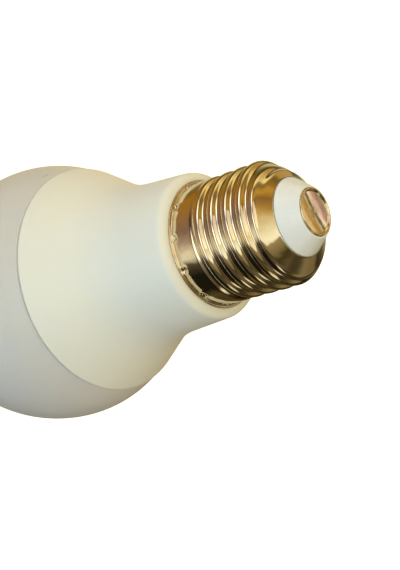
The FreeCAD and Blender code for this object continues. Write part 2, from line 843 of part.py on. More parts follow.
def transformer():
    """A small flyback transformer: a ferrite frame, a bobbin with flanges and a taped winding."""
    wide, high, long = transformer_ferrite
    side, end = transformer_limbs
    leg = transformer_leg / 2
    low = face + slip
    y = (low + bobbin_foot + bobbin_wall + slip, low + bobbin_foot + bobbin_wall + slip + high)
    first, last = transformer_depth - long / 2, transformer_depth + long / 2
    opening = wide / 2 - side
    frame = box((-wide / 2, wide / 2), y, (first, last))
    window = box((-opening, opening), (y[0] - 1, y[1] + 1), (first + end, last - end))
    ferrite = frame.cut(window).fuse(box((-leg, leg), y, (first, last))).removeSplitter()

    bore = leg + running
    tube = bore + bobbin_wall
    top = y[1] + slip + bobbin_wall
    upper, lower = first + end + slip, last - end - slip
    cheek = opening - slip
    bobbin = box((-tube, tube), (low + bobbin_foot, top), (upper, lower))
    for flange in ((upper, upper + bobbin_flange), (lower - bobbin_flange, lower)):
        bobbin = bobbin.fuse(box((-cheek, cheek), (low + bobbin_wall, top + bobbin_flange), flange))
    for foot in ((first - bobbin_wall, upper + bobbin_flange), (lower - bobbin_flange, last + bobbin_wall)):
        bobbin = bobbin.fuse(box((-wide / 2, wide / 2), (low, low + bobbin_foot), foot))
    hole = box((-bore, bore), (y[0] - slip, y[1] + slip), (first - 1, last + 1))
    bobbin = bobbin.cut(hole).removeSplitter()

    half = cheek - slip
    between = (upper + bobbin_flange + running, lower - bobbin_flange - running)
    turns = box((-half, half), (low + bobbin_wall + slip, top + bobbin_flange - slip), between)
    edges = [e for e in turns.Edges if e.BoundBox.ZLength > 3]
    turns = turns.makeFillet(winding_round, edges)
    bore = tube + running
    turns = turns.cut(box((-bore, bore), (low + bobbin_foot - running, top + running), (first, last)))
    return ferrite, bobbin, turns


def transformer_pins():
    leads = []
    for x in pin_row(transformer_pin_pitch, 4):
        for way in (-1, 1):
            depth = transformer_depth + way * transformer_pin_rows / 2
            leads.append(stub(x, depth, part_lead_radius, -face - 0.7, face + slip))
    return leads


def fuse_resistor():
    """A barrel that swells at its ends, lying on the solder side of the tongue."""
    radius, length = fuse_radius, fuse_length
    waist = radius * 0.86
    points = [
        (0, 0),
        (radius * 0.8, 0),
        (radius, 0.4),
        (radius, 1.3),
        (waist, 1.9),
        (waist, length - 1.9),
        (radius, length - 1.3),
        (radius, length - 0.4),
        (radius * 0.8, length),
        (0, length),
    ]
    body = turned_points(points)
    y = -face - slip - radius
    body.translate(Vector(fuse_x, y, -fuse_top))
    leads = []
    for depth, way in ((fuse_top, 1), (fuse_top + length, -1)):
        start = Vector(fuse_x, y, -depth)
        corner = start + Vector(0, 0, way * 1.2)
        end = Vector(fuse_x, face + 0.5, corner.z)
        leads.append(wire_along([start, corner, end], part_lead_radius, lead_bend))
    return body, leads


def surge_varistor():
    """A coated disc on two leads, on the solder side of the tongue."""
    start = -face - 0.5
    back = Vector(varistor_x, start - varistor_thickness, -varistor_depth)
    disc = Part.makeCylinder(varistor_radius, varistor_thickness, back, Vector(0, 1, 0))
    disc = disc.makeFillet(varistor_edge, [e for e in disc.Edges if e.isClosed()])
    leads = []
    for side in (-1, 1):
        x = varistor_x + side * varistor_thickness / 2
        leads.append(stub(x, varistor_depth, part_lead_radius, start, face + 0.5))
    return disc, leads


def gull_package(place_at, size, leads, pitch):
    """A moulded chip on the solder side with gull-wing leads."""
    x, depth = place_at
    wide, long, high = size
    stand = 0.1
    low = -face - stand - high
    body = box((x - wide / 2, x + wide / 2), (low, -face - stand), (depth - long / 2, depth + long / 2))
    legs = []
    middle = -face - high / 2
    on_board = -face - solder_film
    for side in (-1, 1):
        near = x + side * wide / 2
        foot = near + side * leg_reach
        knee = near + side * (leg_reach + leg_sheet) / 2
        for along in pin_row(pitch, leads):
            d = (depth + along - leg_width / 2, depth + along + leg_width / 2)
            shin = sorted((knee - side * leg_sheet, knee))
            arm = box(sorted((near, knee)), (middle - leg_sheet / 2, middle + leg_sheet / 2), d)
            drop = box(shin, (middle, on_board), d)
            pad = box(sorted((knee - side * leg_sheet, foot)), (on_board - leg_sheet, on_board), d)
            legs.append(arm.fuse(drop).fuse(pad).removeSplitter())
    return body, legs


def chip_parts(places, size):
    """Two-ended surface-mount chips on the solder side, as (x, depth) with the long side along x."""
    made = []
    for x, depth in places:
        y = (-face - solder_film - size[2], -face - solder_film)
        made.append(box((x - size[0] / 2, x + size[0] / 2), y, (depth - size[1] / 2, depth + size[1] / 2)))
    return made


def module_board():
    y = (module_plane - module_thickness / 2, module_plane + module_thickness / 2)
    half = module_width / 2
    return box((-half, half), y, (module_top, module_top + module_length))


def module_shield():
    """A pressed can over the radio chip, open on its board side."""
    wide, long, high = shield
    back = module_plane - module_thickness / 2
    top = module_top + 1.0
    outer = box((-wide / 2, wide / 2), (back - high, back), (top, top + long))
    edges = [e for e in outer.Edges if e.BoundBox.YLength > 1]
    outer = outer.makeFillet(0.6, edges)
    wall = shield_wall
    x = (-wide / 2 + wall, wide / 2 - wall)
    return outer.cut(box(x, (back - high + wall, back + 1), (top + wall, top + long - wall)))


def radio_chip():
    wide, long, high = radio
    back = module_plane - module_thickness / 2
    top = module_top + 3.5
    return box((-wide / 2, wide / 2), (back - high, back), (top, top + long))


def module_antenna():
    """A meander of copper on the end of the module that stands in the dome."""
    back = module_plane - module_thickness / 2
    y = (back - copper, back)
    high = module_top + module_length - antenna_margin
    low = high - antenna_height
    half = antenna_track / 2
    start = antenna_track * 2.5 - module_width / 2
    pitch = -2 * start / antenna_teeth
    trace = box((start - half, start + half), y, (low, high))
    for i in range(antenna_teeth):
        x = start + i * pitch
        turn = (high - antenna_track, high) if i % 2 else (low, low + antenna_track)
        trace = trace.fuse(box((x, x + pitch), y, turn))
        trace = trace.fuse(box((x + pitch - half, x + pitch + half), y, (low, high)))
    feed = box((start - half, start + half), y, (board_bottom + slip, low))
    return trace.fuse(feed).removeSplitter()


module_pin_depth = module_top + 1.6


def module_header():
    """The strip that carries the module on the driver, and its pins."""
    front = module_plane + module_thickness / 2
    half = header_pitch * header_pins / 2
    y = (front, -face - 1.6)
    strip = box((-half, half), y, (module_pin_depth - 1.0, module_pin_depth + 1.0))
    made = []
    for x in pin_row(header_pitch, header_pins):
        pin = stub(x, module_pin_depth, 0.25, front - module_thickness - 0.4, face + 0.4)
        made.append(pin)
    return strip.cut(Part.makeCompound(made)), made


def board_header():
    """The pin strip on the driver's lower edge, and its pins up into the LED board's socket."""
    half = header_pitch * header_pins / 2
    base = box((-half, half), (face, face + 2.0), (driver_bottom - 2.6, driver_bottom - 0.4))
    side = header_pin / 2
    y = (header_plane - side, header_plane + side)
    made = []
    for x in pin_row(header_pitch, header_pins):
        made.append(box((x - side, x + side), y, (driver_bottom - 3.6, board_bottom + 2.0)))
    return base.cut(Part.makeCompound(made)), made


def board_socket():
    """The white socket on the LED board that takes the driver's pins."""
    half = header_pitch * header_pins / 2 + loose
    side = header_pin / 2 + slip
    wide = (header_plane - 2.6, header_plane + 2.6)
    y = (header_plane - side, header_plane + side)
    body = box((-half, half), wide, (board_bottom, board_bottom + 2.6))
    for x in pin_row(header_pitch, header_pins):
        body = body.cut(box((x - side, x + side), y, (board_bottom - 1, board_bottom + 2.1)))
    return body


def live_lead():
    """From the tongue's pad up the insulator's bore, beside the contact's shank."""
    beside = shank_radius + lead_radius + running
    top = Vector(beside, 0, -contact_thickness - running - 0.3)
    turn = Vector(beside, 0, -(insulator_foot_depth + 2.4))
    out = Vector(5.2, 0, -(tongue_top - 2.6))
    end = Vector(5.2, 0, -tongue_top + 0.02)
    return wire_along([top, turn, out, end], lead_radius, 0.9)


def neutral_lead():
    """From the tongue over the spigot's rim and down its groove, against the shell."""
    inner = spigot_thread_radius - lead_radius - running - slip
    start = Vector(-5.2, 0, -tongue_top + 0.02)
    rise = Vector(-5.2, 0, -(spigot_top - 1.5))
    over = Vector(-inner, 0, -(spigot_top - 1.5))
    end = Vector(-inner, 0, -(skirt_depth - 1.0))
    return wire_along([start, rise, over, end], lead_radius, 0.9)


def main():
    os.makedirs("parts", exist_ok=True)
    save("screw_shell", screw_shell())
    save("cap_insulator", cap_insulator())
    save("centre_contact", centre_contact())
    save("housing", housing())
    save("diffuser_dome", diffuser_dome())
    save("dome_sealant", dome_sealant())
    save("heat_sink", heat_sink())
    save("thermal_pad", thermal_pad())
    save("led_board", led_board())
    save("white_led_bodies", *white_led_bodies())
    save("warm_phosphors", *phosphors(0))
    save("cool_phosphors", *phosphors(1))
    save("colour_led_bodies", *colour_led_bodies())
    save("colour_led_windows", *colour_led_windows())
    save("led_board_screws", *led_board_screws())
    save("driver_sleeve", driver_sleeve())
    save("live_lead", live_lead())
    save("neutral_lead", neutral_lead())

    bulk = lying_can(bulk_diameter, bulk_length, bulk_top, 0.0)
    bulk_leads = bent_leads(bulk_diameter, bulk_length, bulk_top, 0.0, bulk_lead_pitch)
    output = lying_can(output_diameter, output_length, output_top, output_x)
    output_leads = bent_leads(output_diameter, output_length, output_top, output_x, output_lead_pitch)
    fuse, fuse_leads = fuse_resistor()
    varistor, varistor_leads = surge_varistor()
    choke_core, choke_winding = input_choke()
    ferrite, bobbin, turns = transformer()
    frame_pins = transformer_pins()
    strip, strip_pins = module_header()
    base, base_pins = board_header()
    bridge, bridge_legs = gull_package(*rectifier)
    chip, chip_legs = gull_package(*driver_chip)
    diode, diode_legs = gull_package(*output_diode)

    leads = bulk_leads + output_leads + fuse_leads + varistor_leads + frame_pins
    board = driver_board().cut(Part.makeCompound(leads + strip_pins))
    save("driver_board", board)
    save("bulk_capacitor", bulk)
    save("output_capacitor", output)
    save("capacitor_leads", *(bulk_leads + output_leads))
    save("fuse_resistor", fuse)
    save("fuse_leads", *fuse_leads)
    save("surge_varistor", varistor)
    save("varistor_leads", *varistor_leads)
    save("choke_core", choke_core)
    save("choke_winding", choke_winding)
    save("film_capacitor", film_capacitor())
    save("transformer_core", ferrite)
    save("transformer_bobbin", bobbin)
    save("transformer_winding", turns)
    save("transformer_pins", *frame_pins)
    save("bridge_rectifier", bridge)
    save("driver_chip", chip)
    save("output_diode", diode)
    save("chip_legs", *(bridge_legs + chip_legs + diode_legs))
    resistors = [(-chip_x, 34.0), (-chip_x, 36.4), (-chip_x, 38.8), (chip_x, 39.4)]
    capacitors = [(0.35, 33.4), (0.35, 35.4), (0.35, 37.4)]
    save("chip_resistors", *chip_parts(resistors, chip_resistor))
    save("chip_capacitors", *chip_parts(capacitors, chip_capacitor))
    save("module_board", module_board().cut(Part.makeCompound(strip_pins)))
    save("module_shield", module_shield())
    save("radio_chip", radio_chip())
    save("module_antenna", module_antenna())
    save("module_header", strip)
    save("module_pins", *strip_pins)
    save("board_header", base)
    save("board_pins", *base_pins)
    save("board_socket", board_socket())


main()
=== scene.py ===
import bpy
import json
import math
import numpy as np
from mathutils import Matrix, Vector


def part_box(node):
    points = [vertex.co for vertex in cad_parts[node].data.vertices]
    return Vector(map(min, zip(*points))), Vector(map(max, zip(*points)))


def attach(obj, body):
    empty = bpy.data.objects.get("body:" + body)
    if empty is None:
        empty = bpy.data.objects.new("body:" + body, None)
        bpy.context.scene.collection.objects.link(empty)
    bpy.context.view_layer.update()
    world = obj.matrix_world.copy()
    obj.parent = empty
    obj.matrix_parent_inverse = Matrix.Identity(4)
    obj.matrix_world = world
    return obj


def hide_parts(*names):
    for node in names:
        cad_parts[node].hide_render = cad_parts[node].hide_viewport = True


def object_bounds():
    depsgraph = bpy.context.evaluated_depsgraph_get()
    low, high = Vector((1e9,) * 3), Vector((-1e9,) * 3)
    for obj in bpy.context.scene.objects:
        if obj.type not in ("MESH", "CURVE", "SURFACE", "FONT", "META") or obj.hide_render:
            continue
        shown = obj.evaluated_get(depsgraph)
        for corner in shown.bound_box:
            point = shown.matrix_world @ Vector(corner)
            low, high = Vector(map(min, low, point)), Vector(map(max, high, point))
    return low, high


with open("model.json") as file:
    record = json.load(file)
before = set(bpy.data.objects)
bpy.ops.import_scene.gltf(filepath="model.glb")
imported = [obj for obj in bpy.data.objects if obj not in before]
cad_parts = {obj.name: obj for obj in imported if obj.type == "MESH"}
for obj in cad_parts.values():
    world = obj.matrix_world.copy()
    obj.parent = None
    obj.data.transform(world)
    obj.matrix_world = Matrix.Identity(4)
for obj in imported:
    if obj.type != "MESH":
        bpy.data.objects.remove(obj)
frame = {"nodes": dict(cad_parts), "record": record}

# The lamp hangs cap up: its axis is Z, the centre contact's face is at z 0 and the globe is below.
# Profiles below are in millimetres, as (radius, depth under the contact), and mm turns them into metres.
mm = 0.001
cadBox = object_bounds()
rest = {name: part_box(name) for name in frame["nodes"]}
mounts = {m["name"]: m for m in frame["record"]["mounts"]}


def lowDepth(node):
    return -rest[node][0].z / mm


def highDepth(node):
    return -rest[node][1].z / mm


def widest(node):
    return rest[node][1].x / mm


print("frame loaded:", len(frame["nodes"]), "nodes")


# ---- small helpers for profiles, meshes and nodes


def straight(a, b, count):
    t = np.linspace(0, 1, count)[:, None]
    return (1 - t) * np.array(a, float) + t * np.array(b, float)


def bend(centre, radius, fromDeg, toDeg, count):
    # points on a circle: centre + radius (cos, sin), with 0 degrees outwards and 90 towards the globe
    a = np.radians(np.linspace(fromDeg, toDeg, count))
    return np.array(centre, float) + radius * np.stack([np.cos(a), np.sin(a)], 1)


def joinRuns(*runs):
    # runs of a profile one after another, without the points that two neighbours share
    points = np.concatenate(runs)
    keep = np.ones(len(points), bool)
    keep[1:] = np.linalg.norm(np.diff(points, axis=0), axis=1) > 1e-5
    return points[keep]


def smoothStep(a, b, x):
    t = np.clip((x - a) / (b - a), 0, 1)
    return t * t * (3 - 2 * t)


def addMesh(name, points, faces, material, node):
    mesh = bpy.data.meshes.new(name)
    mesh.from_pydata(points, [], faces)
    mesh.update()
    mesh.validate()
    mesh.polygons.foreach_set("use_smooth", np.ones(len(mesh.polygons), bool))
    mesh.materials.append(material)
    piece = bpy.data.objects.new(name, mesh)
    bpy.context.scene.collection.objects.link(piece)
    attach(piece, "root")
    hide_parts(node)
    return piece


def outwards(points, faces):
    # the enclosed volume is the sum of a . (b x c) / 6 over triangles a, b, c, and below zero all faces turn
    fans = np.array([[f[0], f[k], f[k + 1]] for f in faces for k in range(1, len(f) - 1)])
    a, b, c = (points[fans[:, k]] for k in range(3))
    volume = np.einsum("ij,ij->i", a, np.cross(b, c)).sum() / 6
    return faces if volume > 0 else [f[::-1] for f in faces]


def turnedFaces(rows, around, closedLoop):
    # quads between neighbouring rows of a grid that closes on itself round the axis
    j, i = np.meshgrid(np.arange(rows if closedLoop else rows - 1), np.arange(around), indexing="ij")
    nextRow = (j + 1) % rows
    nextCol = (i + 1) % around
    here, below = j * around, nextRow * around
    quads = np.stack([here + i, below + i, below + nextCol, here + nextCol], -1)
    return quads.reshape(-1, 4)


def turnedPiece(name, radius, depth, material, closedLoop, node):
    # point (row, column) = (radius cos a, radius sin a, -depth), where a goes once round the axis
    rows, around = np.broadcast(radius, depth).shape
    a = np.linspace(0, 2 * np.pi, around, endpoint=False)[None, :]
    radius = np.broadcast_to(radius, (rows, around))
    depth = np.broadcast_to(depth, (rows, around))
    points = np.stack([radius * np.cos(a), radius * np.sin(a), -depth], -1).reshape(-1, 3) * mm
    faces = turnedFaces(rows, around, closedLoop).tolist()
    if not closedLoop:
        # each end closes in one point on the axis
        first, last = len(points), len(points) + 1
        ends = [[0, 0, -depth[0].mean() * mm], [0, 0, -depth[-1].mean() * mm]]
        points = np.concatenate([points, ends])
        base = (rows - 1) * around
        for i in range(around):
            k = (i + 1) % around
            faces.append([first, i, k])
            faces.append([last, base + k, base + i])
    return addMesh(name, points, outwards(points, faces), material, node)


def spunPiece(name, profile, around, material, closedLoop, node):
    # one profile turned round the axis
    once = np.ones((1, around))
    radius, depth = profile[:, :1] * once, profile[:, 1:] * once
    return turnedPiece(name, radius, depth, material, closedLoop, node)


def newMaterial(name):
    material = bpy.data.materials.new(name)
    material.use_nodes = True
    tree = material.node_tree
    return material, tree, tree.nodes["Principled BSDF"]


def setSockets(node, **values):
    for key, value in values.items():
        node.inputs[key.replace("_", " ")].default_value = value


def objectSpot(tree, scale=(1, 1, 1), turn=(0, 0, 0)):
    coords = tree.nodes.new("ShaderNodeTexCoord")
    mapping = tree.nodes.new("ShaderNodeMapping")
    mapping.inputs["Scale"].default_value = scale
    mapping.inputs["Rotation"].default_value = turn
    tree.links.new(coords.outputs["Object"], mapping.inputs["Vector"])
    return mapping.outputs["Vector"]


def noise(tree, spot, scale, detail=3.0, rough=0.5, distortion=0.0):
    node = tree.nodes.new("ShaderNodeTexNoise")
    setSockets(node, Scale=scale, Detail=detail, Roughness=rough, Distortion=distortion)
    tree.links.new(spot, node.inputs["Vector"])
    return node.outputs["Fac"]


def ramp(tree, fac, stops):
    node = tree.nodes.new("ShaderNodeValToRGB")
    elements = node.color_ramp.elements
    while len(elements) > 1:
        elements.remove(elements[-1])
    for k, (place, colour) in enumerate(stops):
        element = elements[0] if k == 0 else elements.new(place)
        element.position = place
        element.color = (*colour, 1)
    tree.links.new(fac, node.inputs["Fac"])
    return node.outputs["Color"]


def grey(v):
    return (v, v, v)


def remap(tree, value, fromLow, fromHigh, toLow, toHigh):
    node = tree.nodes.new("ShaderNodeMapRange")
    setSockets(node, From_Min=fromLow, From_Max=fromHigh, To_Min=toLow, To_Max=toHigh)
    tree.links.new(value, node.inputs["Value"])
    return node.outputs["Result"]


def mathNode(tree, kind, a, b=None):
    node = tree.nodes.new("ShaderNodeMath")
    node.operation = kind
    for k, value in enumerate((a, b)):
        if isinstance(value, (int, float)):
            node.inputs[k].default_value = value
        elif value is not None:
            tree.links.new(value, node.inputs[k])
    return node.outputs["Value"]


def mixColour(tree, fac, a, b, kind="MIX"):
    node = tree.nodes.new("ShaderNodeMix")
    node.data_type = "RGBA"
    node.blend_type = kind
    for socket, value in ((node.inputs["Factor"], fac), (node.inputs[6], a), (node.inputs[7], b)):
        if isinstance(value, (int, float)):
            socket.default_value = value
        elif isinstance(value, tuple):
            socket.default_value = (*value, 1)
        else:
            tree.links.new(value, socket)
    return node.outputs[2]


def bump(tree, shader, height, distance, under=None):
    node = tree.nodes.new("ShaderNodeBump")
    setSockets(node, Strength=1.0, Distance=distance)
    tree.links.new(height, node.inputs["Height"])
    if under is not None:
        tree.links.new(under, node.inputs["Normal"])
    tree.links.new(node.outputs["Normal"], shader.inputs["Normal"])
    return node.outputs["Normal"]


def noiseBump(tree, shader, spot, grain, detail=2, rough=0.5, distortion=0.0, under=None):
    # grain is (waves per metre, height in metres)
    size, height = grain
    waves = noise(tree, spot, size, detail, rough, distortion)
    return bump(tree, shader, waves, height, under=under)


# ---- materials


platedMetal = dict(
    colour=(0.83, 0.765, 0.62),  # nickel over brass, a little warm
    worn=(0.74, 0.56, 0.32),  # where brass shines through
    patch=170,
    rough=(0.045, 0.12),
    smear=260,
    ripple=(190, 0.00008),  # how fine the drawn sheet's waves are, and their height
    scratches=(900, 0.000002),
)


def makePlatedMetal():
    look = platedMetal
    material, tree, shader = newMaterial("platedMetal")
    tint = noise(tree, objectSpot(tree), look["patch"], 4, 0.6)
    colour = ramp(tree, tint, [(0.45, look["colour"]), (0.85, look["worn"])])
    tree.links.new(colour, shader.inputs["Base Color"])
    smear = noise(tree, objectSpot(tree, (1, 1, 3)), look["smear"], 5, 0.65, 0.4)
    tree.links.new(remap(tree, smear, 0.4, 0.8, *look["rough"]), shader.inputs["Roughness"])
    setSockets(shader, Metallic=1.0)
    rolled = noiseBump(tree, shader, objectSpot(tree, (1, 1, 1.6)), look["ripple"])
    across = objectSpot(tree, (1, 1, 14))
    noiseBump(tree, shader, across, look["scratches"], 3, 0.6, 1.0, rolled)
    return material


whiteCone = dict(
    colour=(0.81, 0.84, 0.88),
    shade=(0.77, 0.80, 0.84),
    patch=240,
    rough=(0.24, 0.38),
    coat=0.25,
    grain=(900, 0.00001),
)


def makeWhiteCone():
    look = whiteCone
    material, tree, shader = newMaterial("whiteCone")
    cloud = noise(tree, objectSpot(tree), look["patch"], 4, 0.55)
    colour = ramp(tree, cloud, [(0.3, look["colour"]), (0.75, look["shade"])])
    tree.links.new(colour, shader.inputs["Base Color"])
    tree.links.new(remap(tree, cloud, 0.3, 0.7, *look["rough"]), shader.inputs["Roughness"])
    setSockets(shader, IOR=1.5, Coat_Weight=look["coat"], Coat_Roughness=0.12)
    setSockets(shader, Subsurface_Weight=0.15, Subsurface_Scale=0.0008)
    noiseBump(tree, shader, objectSpot(tree), look["grain"])
    return material


contactDisc = dict(
    colour=(0.86, 0.79, 0.66),
    stain=(0.74, 0.58, 0.38),
    patch=330,
    rough=(0.02, 0.07),
    turning=(1500, 0.000001),  # fine rings about the axis
    ripple=(260, 0.00003),
)


def makeContactDisc():
    look = contactDisc
    material, tree, shader = newMaterial("contactDisc")
    spot = objectSpot(tree)
    stain = noise(tree, spot, look["patch"], 4, 0.6, 0.6)
    colour = ramp(tree, stain, [(0.4, look["colour"]), (0.75, look["stain"])])
    tree.links.new(colour, shader.inputs["Base Color"])
    tree.links.new(remap(tree, stain, 0.4, 0.8, *look["rough"]), shader.inputs["Roughness"])
    setSockets(shader, Metallic=1.0)
    size, height = look["turning"]
    rings = tree.nodes.new("ShaderNodeTexWave")
    rings.wave_type = "RINGS"
    rings.rings_direction = "Z"
    setSockets(rings, Scale=size, Distortion=1.5, Detail=2.0)
    tree.links.new(spot, rings.inputs["Vector"])
    marks = bump(tree, shader, rings.outputs["Fac"], height)
    noiseBump(tree, shader, spot, look["ripple"], under=marks)
    return material


housingPlastic = dict(
    colour=(0.86, 0.85, 0.79),
    shade=(0.835, 0.825, 0.765),
    patch=45,
    speck=(0.30, 0.25, 0.18),
    speckSpacing=110,
    speckRadius=0.022,
    speckShare=(31, 0.62),  # specks only show where a wide noise is above this
    rough=(0.34, 0.42),
    smear=120,
    flow=(40, 0.00001),
    grain=(2600, 0.000012),
)


def makeHousingPlastic():
    look = housingPlastic
    material, tree, shader = newMaterial("housingPlastic")
    spot = objectSpot(tree)
    cloud = noise(tree, spot, look["patch"], 5, 0.6)
    colour = ramp(tree, cloud, [(0.3, look["colour"]), (0.75, look["shade"])])
    # a few tiny dark specks caught in the moulding
    cells = tree.nodes.new("ShaderNodeTexVoronoi")
    setSockets(cells, Scale=look["speckSpacing"], Randomness=1.0)
    tree.links.new(spot, cells.inputs["Vector"])
    size, level = look["speckShare"]
    rare = noise(tree, spot, size, 1, 0.5)
    dot = mathNode(tree, "LESS_THAN", cells.outputs["Distance"], look["speckRadius"])
    chosen = mathNode(tree, "GREATER_THAN", rare, level)
    colour = mixColour(tree, mathNode(tree, "MULTIPLY", dot, chosen), colour, look["speck"])
    tree.links.new(colour, shader.inputs["Base Color"])
    smear = noise(tree, objectSpot(tree, (1, 1, 0.4)), look["smear"], 4, 0.6, 0.5)
    tree.links.new(remap(tree, smear, 0.3, 0.75, *look["rough"]), shader.inputs["Roughness"])
    setSockets(shader, IOR=1.47, Subsurface_Weight=0.3, Subsurface_Scale=0.0018)
    shader.inputs["Subsurface Radius"].default_value = (1.0, 0.8, 0.5)
    flow = noiseBump(tree, shader, spot, look["flow"], 1, 0.4)
    noiseBump(tree, shader, spot, look["grain"], under=flow)
    return material


domePlastic = dict(
    # colour and shade are the milky plastic's own off-white plus a pink tint, and the pink is a painted
    # reflection of skin held near the globe
    colour=(0.86, 0.725, 0.68),
    shade=(0.83, 0.70, 0.645),
    patch=38,
    rough=(0.26, 0.36),
    milk=0.85,
    ripple=(50, 0.00006),
    grain=(3000, 0.000006),
)


def makeDomePlastic():
    look = domePlastic
    material, tree, shader = newMaterial("domePlastic")
    spot = objectSpot(tree)
    cloud = noise(tree, spot, look["patch"], 4, 0.55)
    # the pink in this base colour is painted reflection, laid over the plastic's own off-white
    colour = ramp(tree, cloud, [(0.3, look["colour"]), (0.75, look["shade"])])
    tree.links.new(colour, shader.inputs["Base Color"])
    tree.links.new(remap(tree, cloud, 0.3, 0.7, *look["rough"]), shader.inputs["Roughness"])
    setSockets(shader, IOR=1.58, Subsurface_Weight=look["milk"], Subsurface_Scale=0.006)
    shader.inputs["Subsurface Radius"].default_value = (1.0, 0.72, 0.5)
    soft = noiseBump(tree, shader, spot, look["ripple"])
    noiseBump(tree, shader, spot, look["grain"], under=soft)
    return material


# ---- the screw shell


screwShell = dict(
    pitch=3.629,
    crestRadius=13.1,
    rootRadius=12.05,
    crestDepth=13.4,  # depth of a crest in the direction phaseDeg
    phaseDeg=184.6,
    mouthRadius=8.2,
    coneDeg=30.0,
    coneRound=3.5,
    grooveStart=6.0,
    grooveEnd=21.9,
    grooveRun=2.2,
    skirtStart=22.6,
    entrySink=1.2,  # the first groove is wider where the rollers went in
    entryDeg=(60.0, 115.0, 190.0, 240.0),
    entryTop=(5.0, 6.2),
    entryBlend=0.9,
    sheet=0.35,
    curl=0.35,  # of the bend between skirt and flange
    coneEnd=9.0,  # above this depth the wall leans, so its section is thicker
    leanRad=0.2,
    mouthBand=0.4,
    mouthWall=0.05,
    around=400,
    threadRows=142,
    skirtRows=48,
    insideRows=34,
)

crimp = dict(count=12, firstDeg=15.0, radius=0.74, bite=0.36, aboveFlange=0.74, lift=0.06)

skirtRadius = mounts["cap_skirt"]["dims"]["r_mm"]
mouthDepth = highDepth("screw_shell")
flangeFloor = lowDepth("screw_shell")
flangeRadius = widest("screw_shell")


def shoulderRadius(depth):
    # the cone r = mouth + depth / tan(cone), then a circle that ends upright at the crest radius
    s = screwShell
    slope = math.radians(s["coneDeg"])
    reach = s["coneRound"] * math.tan((math.pi / 2 - slope) / 2)
    corner = mouthDepth + (s["crestRadius"] - s["mouthRadius"]) * math.tan(slope)
    arcEnd = corner + reach
    arcStart = corner - reach * math.sin(slope)
    cone = s["mouthRadius"] + (depth - mouthDepth) / math.tan(slope)
    drop = np.sqrt(np.maximum(s["coneRound"] ** 2 - (arcEnd - depth) ** 2, 0))
    rounded = s["crestRadius"] - s["coneRound"] + drop
    return np.where(depth >= arcEnd, s["crestRadius"], np.where(depth <= arcStart, cone, rounded))


def plainRadius(depth):
    # the shell before rolling: the shoulder, then an eased step to the skirt
    s = screwShell
    step = smoothStep(s["grooveEnd"], s["skirtStart"], depth) * (skirtRadius - s["crestRadius"])
    return shoulderRadius(depth) + step


def threadSink(depth, angle):
    # the rolled groove: crests and roots are equal arcs, and one turn moves them by the pitch
    s = screwShell
    height = s["crestRadius"] - s["rootRadius"]
    quarter = s["pitch"] / 4
    arc = (quarter**2 + (height / 2) ** 2) / height
    turns = (depth - s["crestDepth"]) / s["pitch"] + (angle - math.radians(s["phaseDeg"])) / (2 * np.pi)
    along = (turns - np.round(turns)) * s["pitch"]
    nearRoot = np.abs(along) > quarter
    off = np.where(nearRoot, 2 * quarter - np.abs(along), along)
    sagitta = arc - np.sqrt(arc**2 - off**2)
    sink = np.where(nearRoot, height - sagitta, sagitta)
    grown = smoothStep(0, 1, (depth - s["grooveStart"]) / s["grooveRun"])
    left = smoothStep(0, 1, (s["grooveEnd"] - depth) / s["grooveRun"])
    sink = sink * grown * left
    # the first groove opens wide over part of its turn
    begins, fullFrom, fullTo, ends = s["entryDeg"]
    turned = np.degrees(angle)
    first = s["crestDepth"] - s["pitch"] * (1.5 + (turned - s["phaseDeg"]) / 360)
    share = smoothStep(begins, fullFrom, turned) * (1 - smoothStep(fullTo, ends, turned))
    share = share * smoothStep(*s["entryTop"], depth)
    share = share * (1 - smoothStep(first, first + s["entryBlend"], depth))
    return sink + (s["entrySink"] - sink) * share


def crimpSink(depth, angle):
    # round dents at the flange's root: bite (1 - d^2)^2 inside the radius, and a low lip just outside
    step = 2 * np.pi / crimp["count"]
    turn = (angle - math.radians(crimp["firstDeg"])) / step
    aside = (turn - np.round(turn)) * step * skirtRadius
    centre = flangeFloor - screwShell["sheet"] - crimp["aboveFlange"]
    d = np.hypot(aside, depth - centre) / crimp["radius"]
    dent = crimp["bite"] * np.clip(1 - d**2, 0, 1) ** 1.5
    lip = crimp["lift"] * np.exp(-(((d - 1.25) / 0.28) ** 2))
    return dent - lip


def makeScrewShell(material):
    s = screwShell
    a = np.linspace(0, 2 * np.pi, s["around"], endpoint=False)[None, :]
    sheet = s["sheet"]
    curl = s["curl"]
    bendTop = flangeFloor - sheet - curl
    lip = sheet / 2
    thread = np.linspace(mouthDepth, s["grooveEnd"], s["threadRows"])
    plain = np.linspace(s["grooveEnd"], bendTop, s["skirtRows"])
    down = np.concatenate([thread, plain[1:]])[:, None]
    outer = plainRadius(down) - threadSink(down, a) - crimpSink(down, a)
    rim = joinRuns(
        bend((skirtRadius + curl, bendTop), curl, 180, 90, 7),
        straight((skirtRadius + curl, bendTop + curl), (flangeRadius - lip, bendTop + curl), 3),
        bend((flangeRadius - lip, flangeFloor - lip), lip, -90, 90, 7),
    )[1:]
    rimRadius = rim[:, :1] - crimpSink(rim[:, 1:], a) * smoothStep(flangeFloor - lip, bendTop, rim[:, 1:])
    under = straight((flangeRadius - lip - 0.1, flangeFloor), (skirtRadius - sheet, flangeFloor), 3)
    up = np.linspace(flangeFloor - 0.2, mouthDepth, s["insideRows"])[:, None]
    leaning = up < s["coneEnd"]
    inner = plainRadius(up) - threadSink(up, a) - crimpSink(up, a)
    inner = inner - sheet / np.where(leaning, math.cos(s["leanRad"]), 1)
    nearMouth = up < mouthDepth + s["mouthBand"]
    inner = np.where(nearMouth, np.maximum(inner, s["mouthRadius"] - s["mouthWall"]), inner)
    around = np.ones_like(a)
    radius = np.concatenate([outer, rimRadius, under[:, :1] * around, inner])
    depth = np.concatenate([down * around, rim[:, 1:] * around, under[:, 1:] * around, up * around])
    return turnedPiece("screwShell", radius, depth, material, True, "screw_shell")


# ---- the insulator and the centre contact


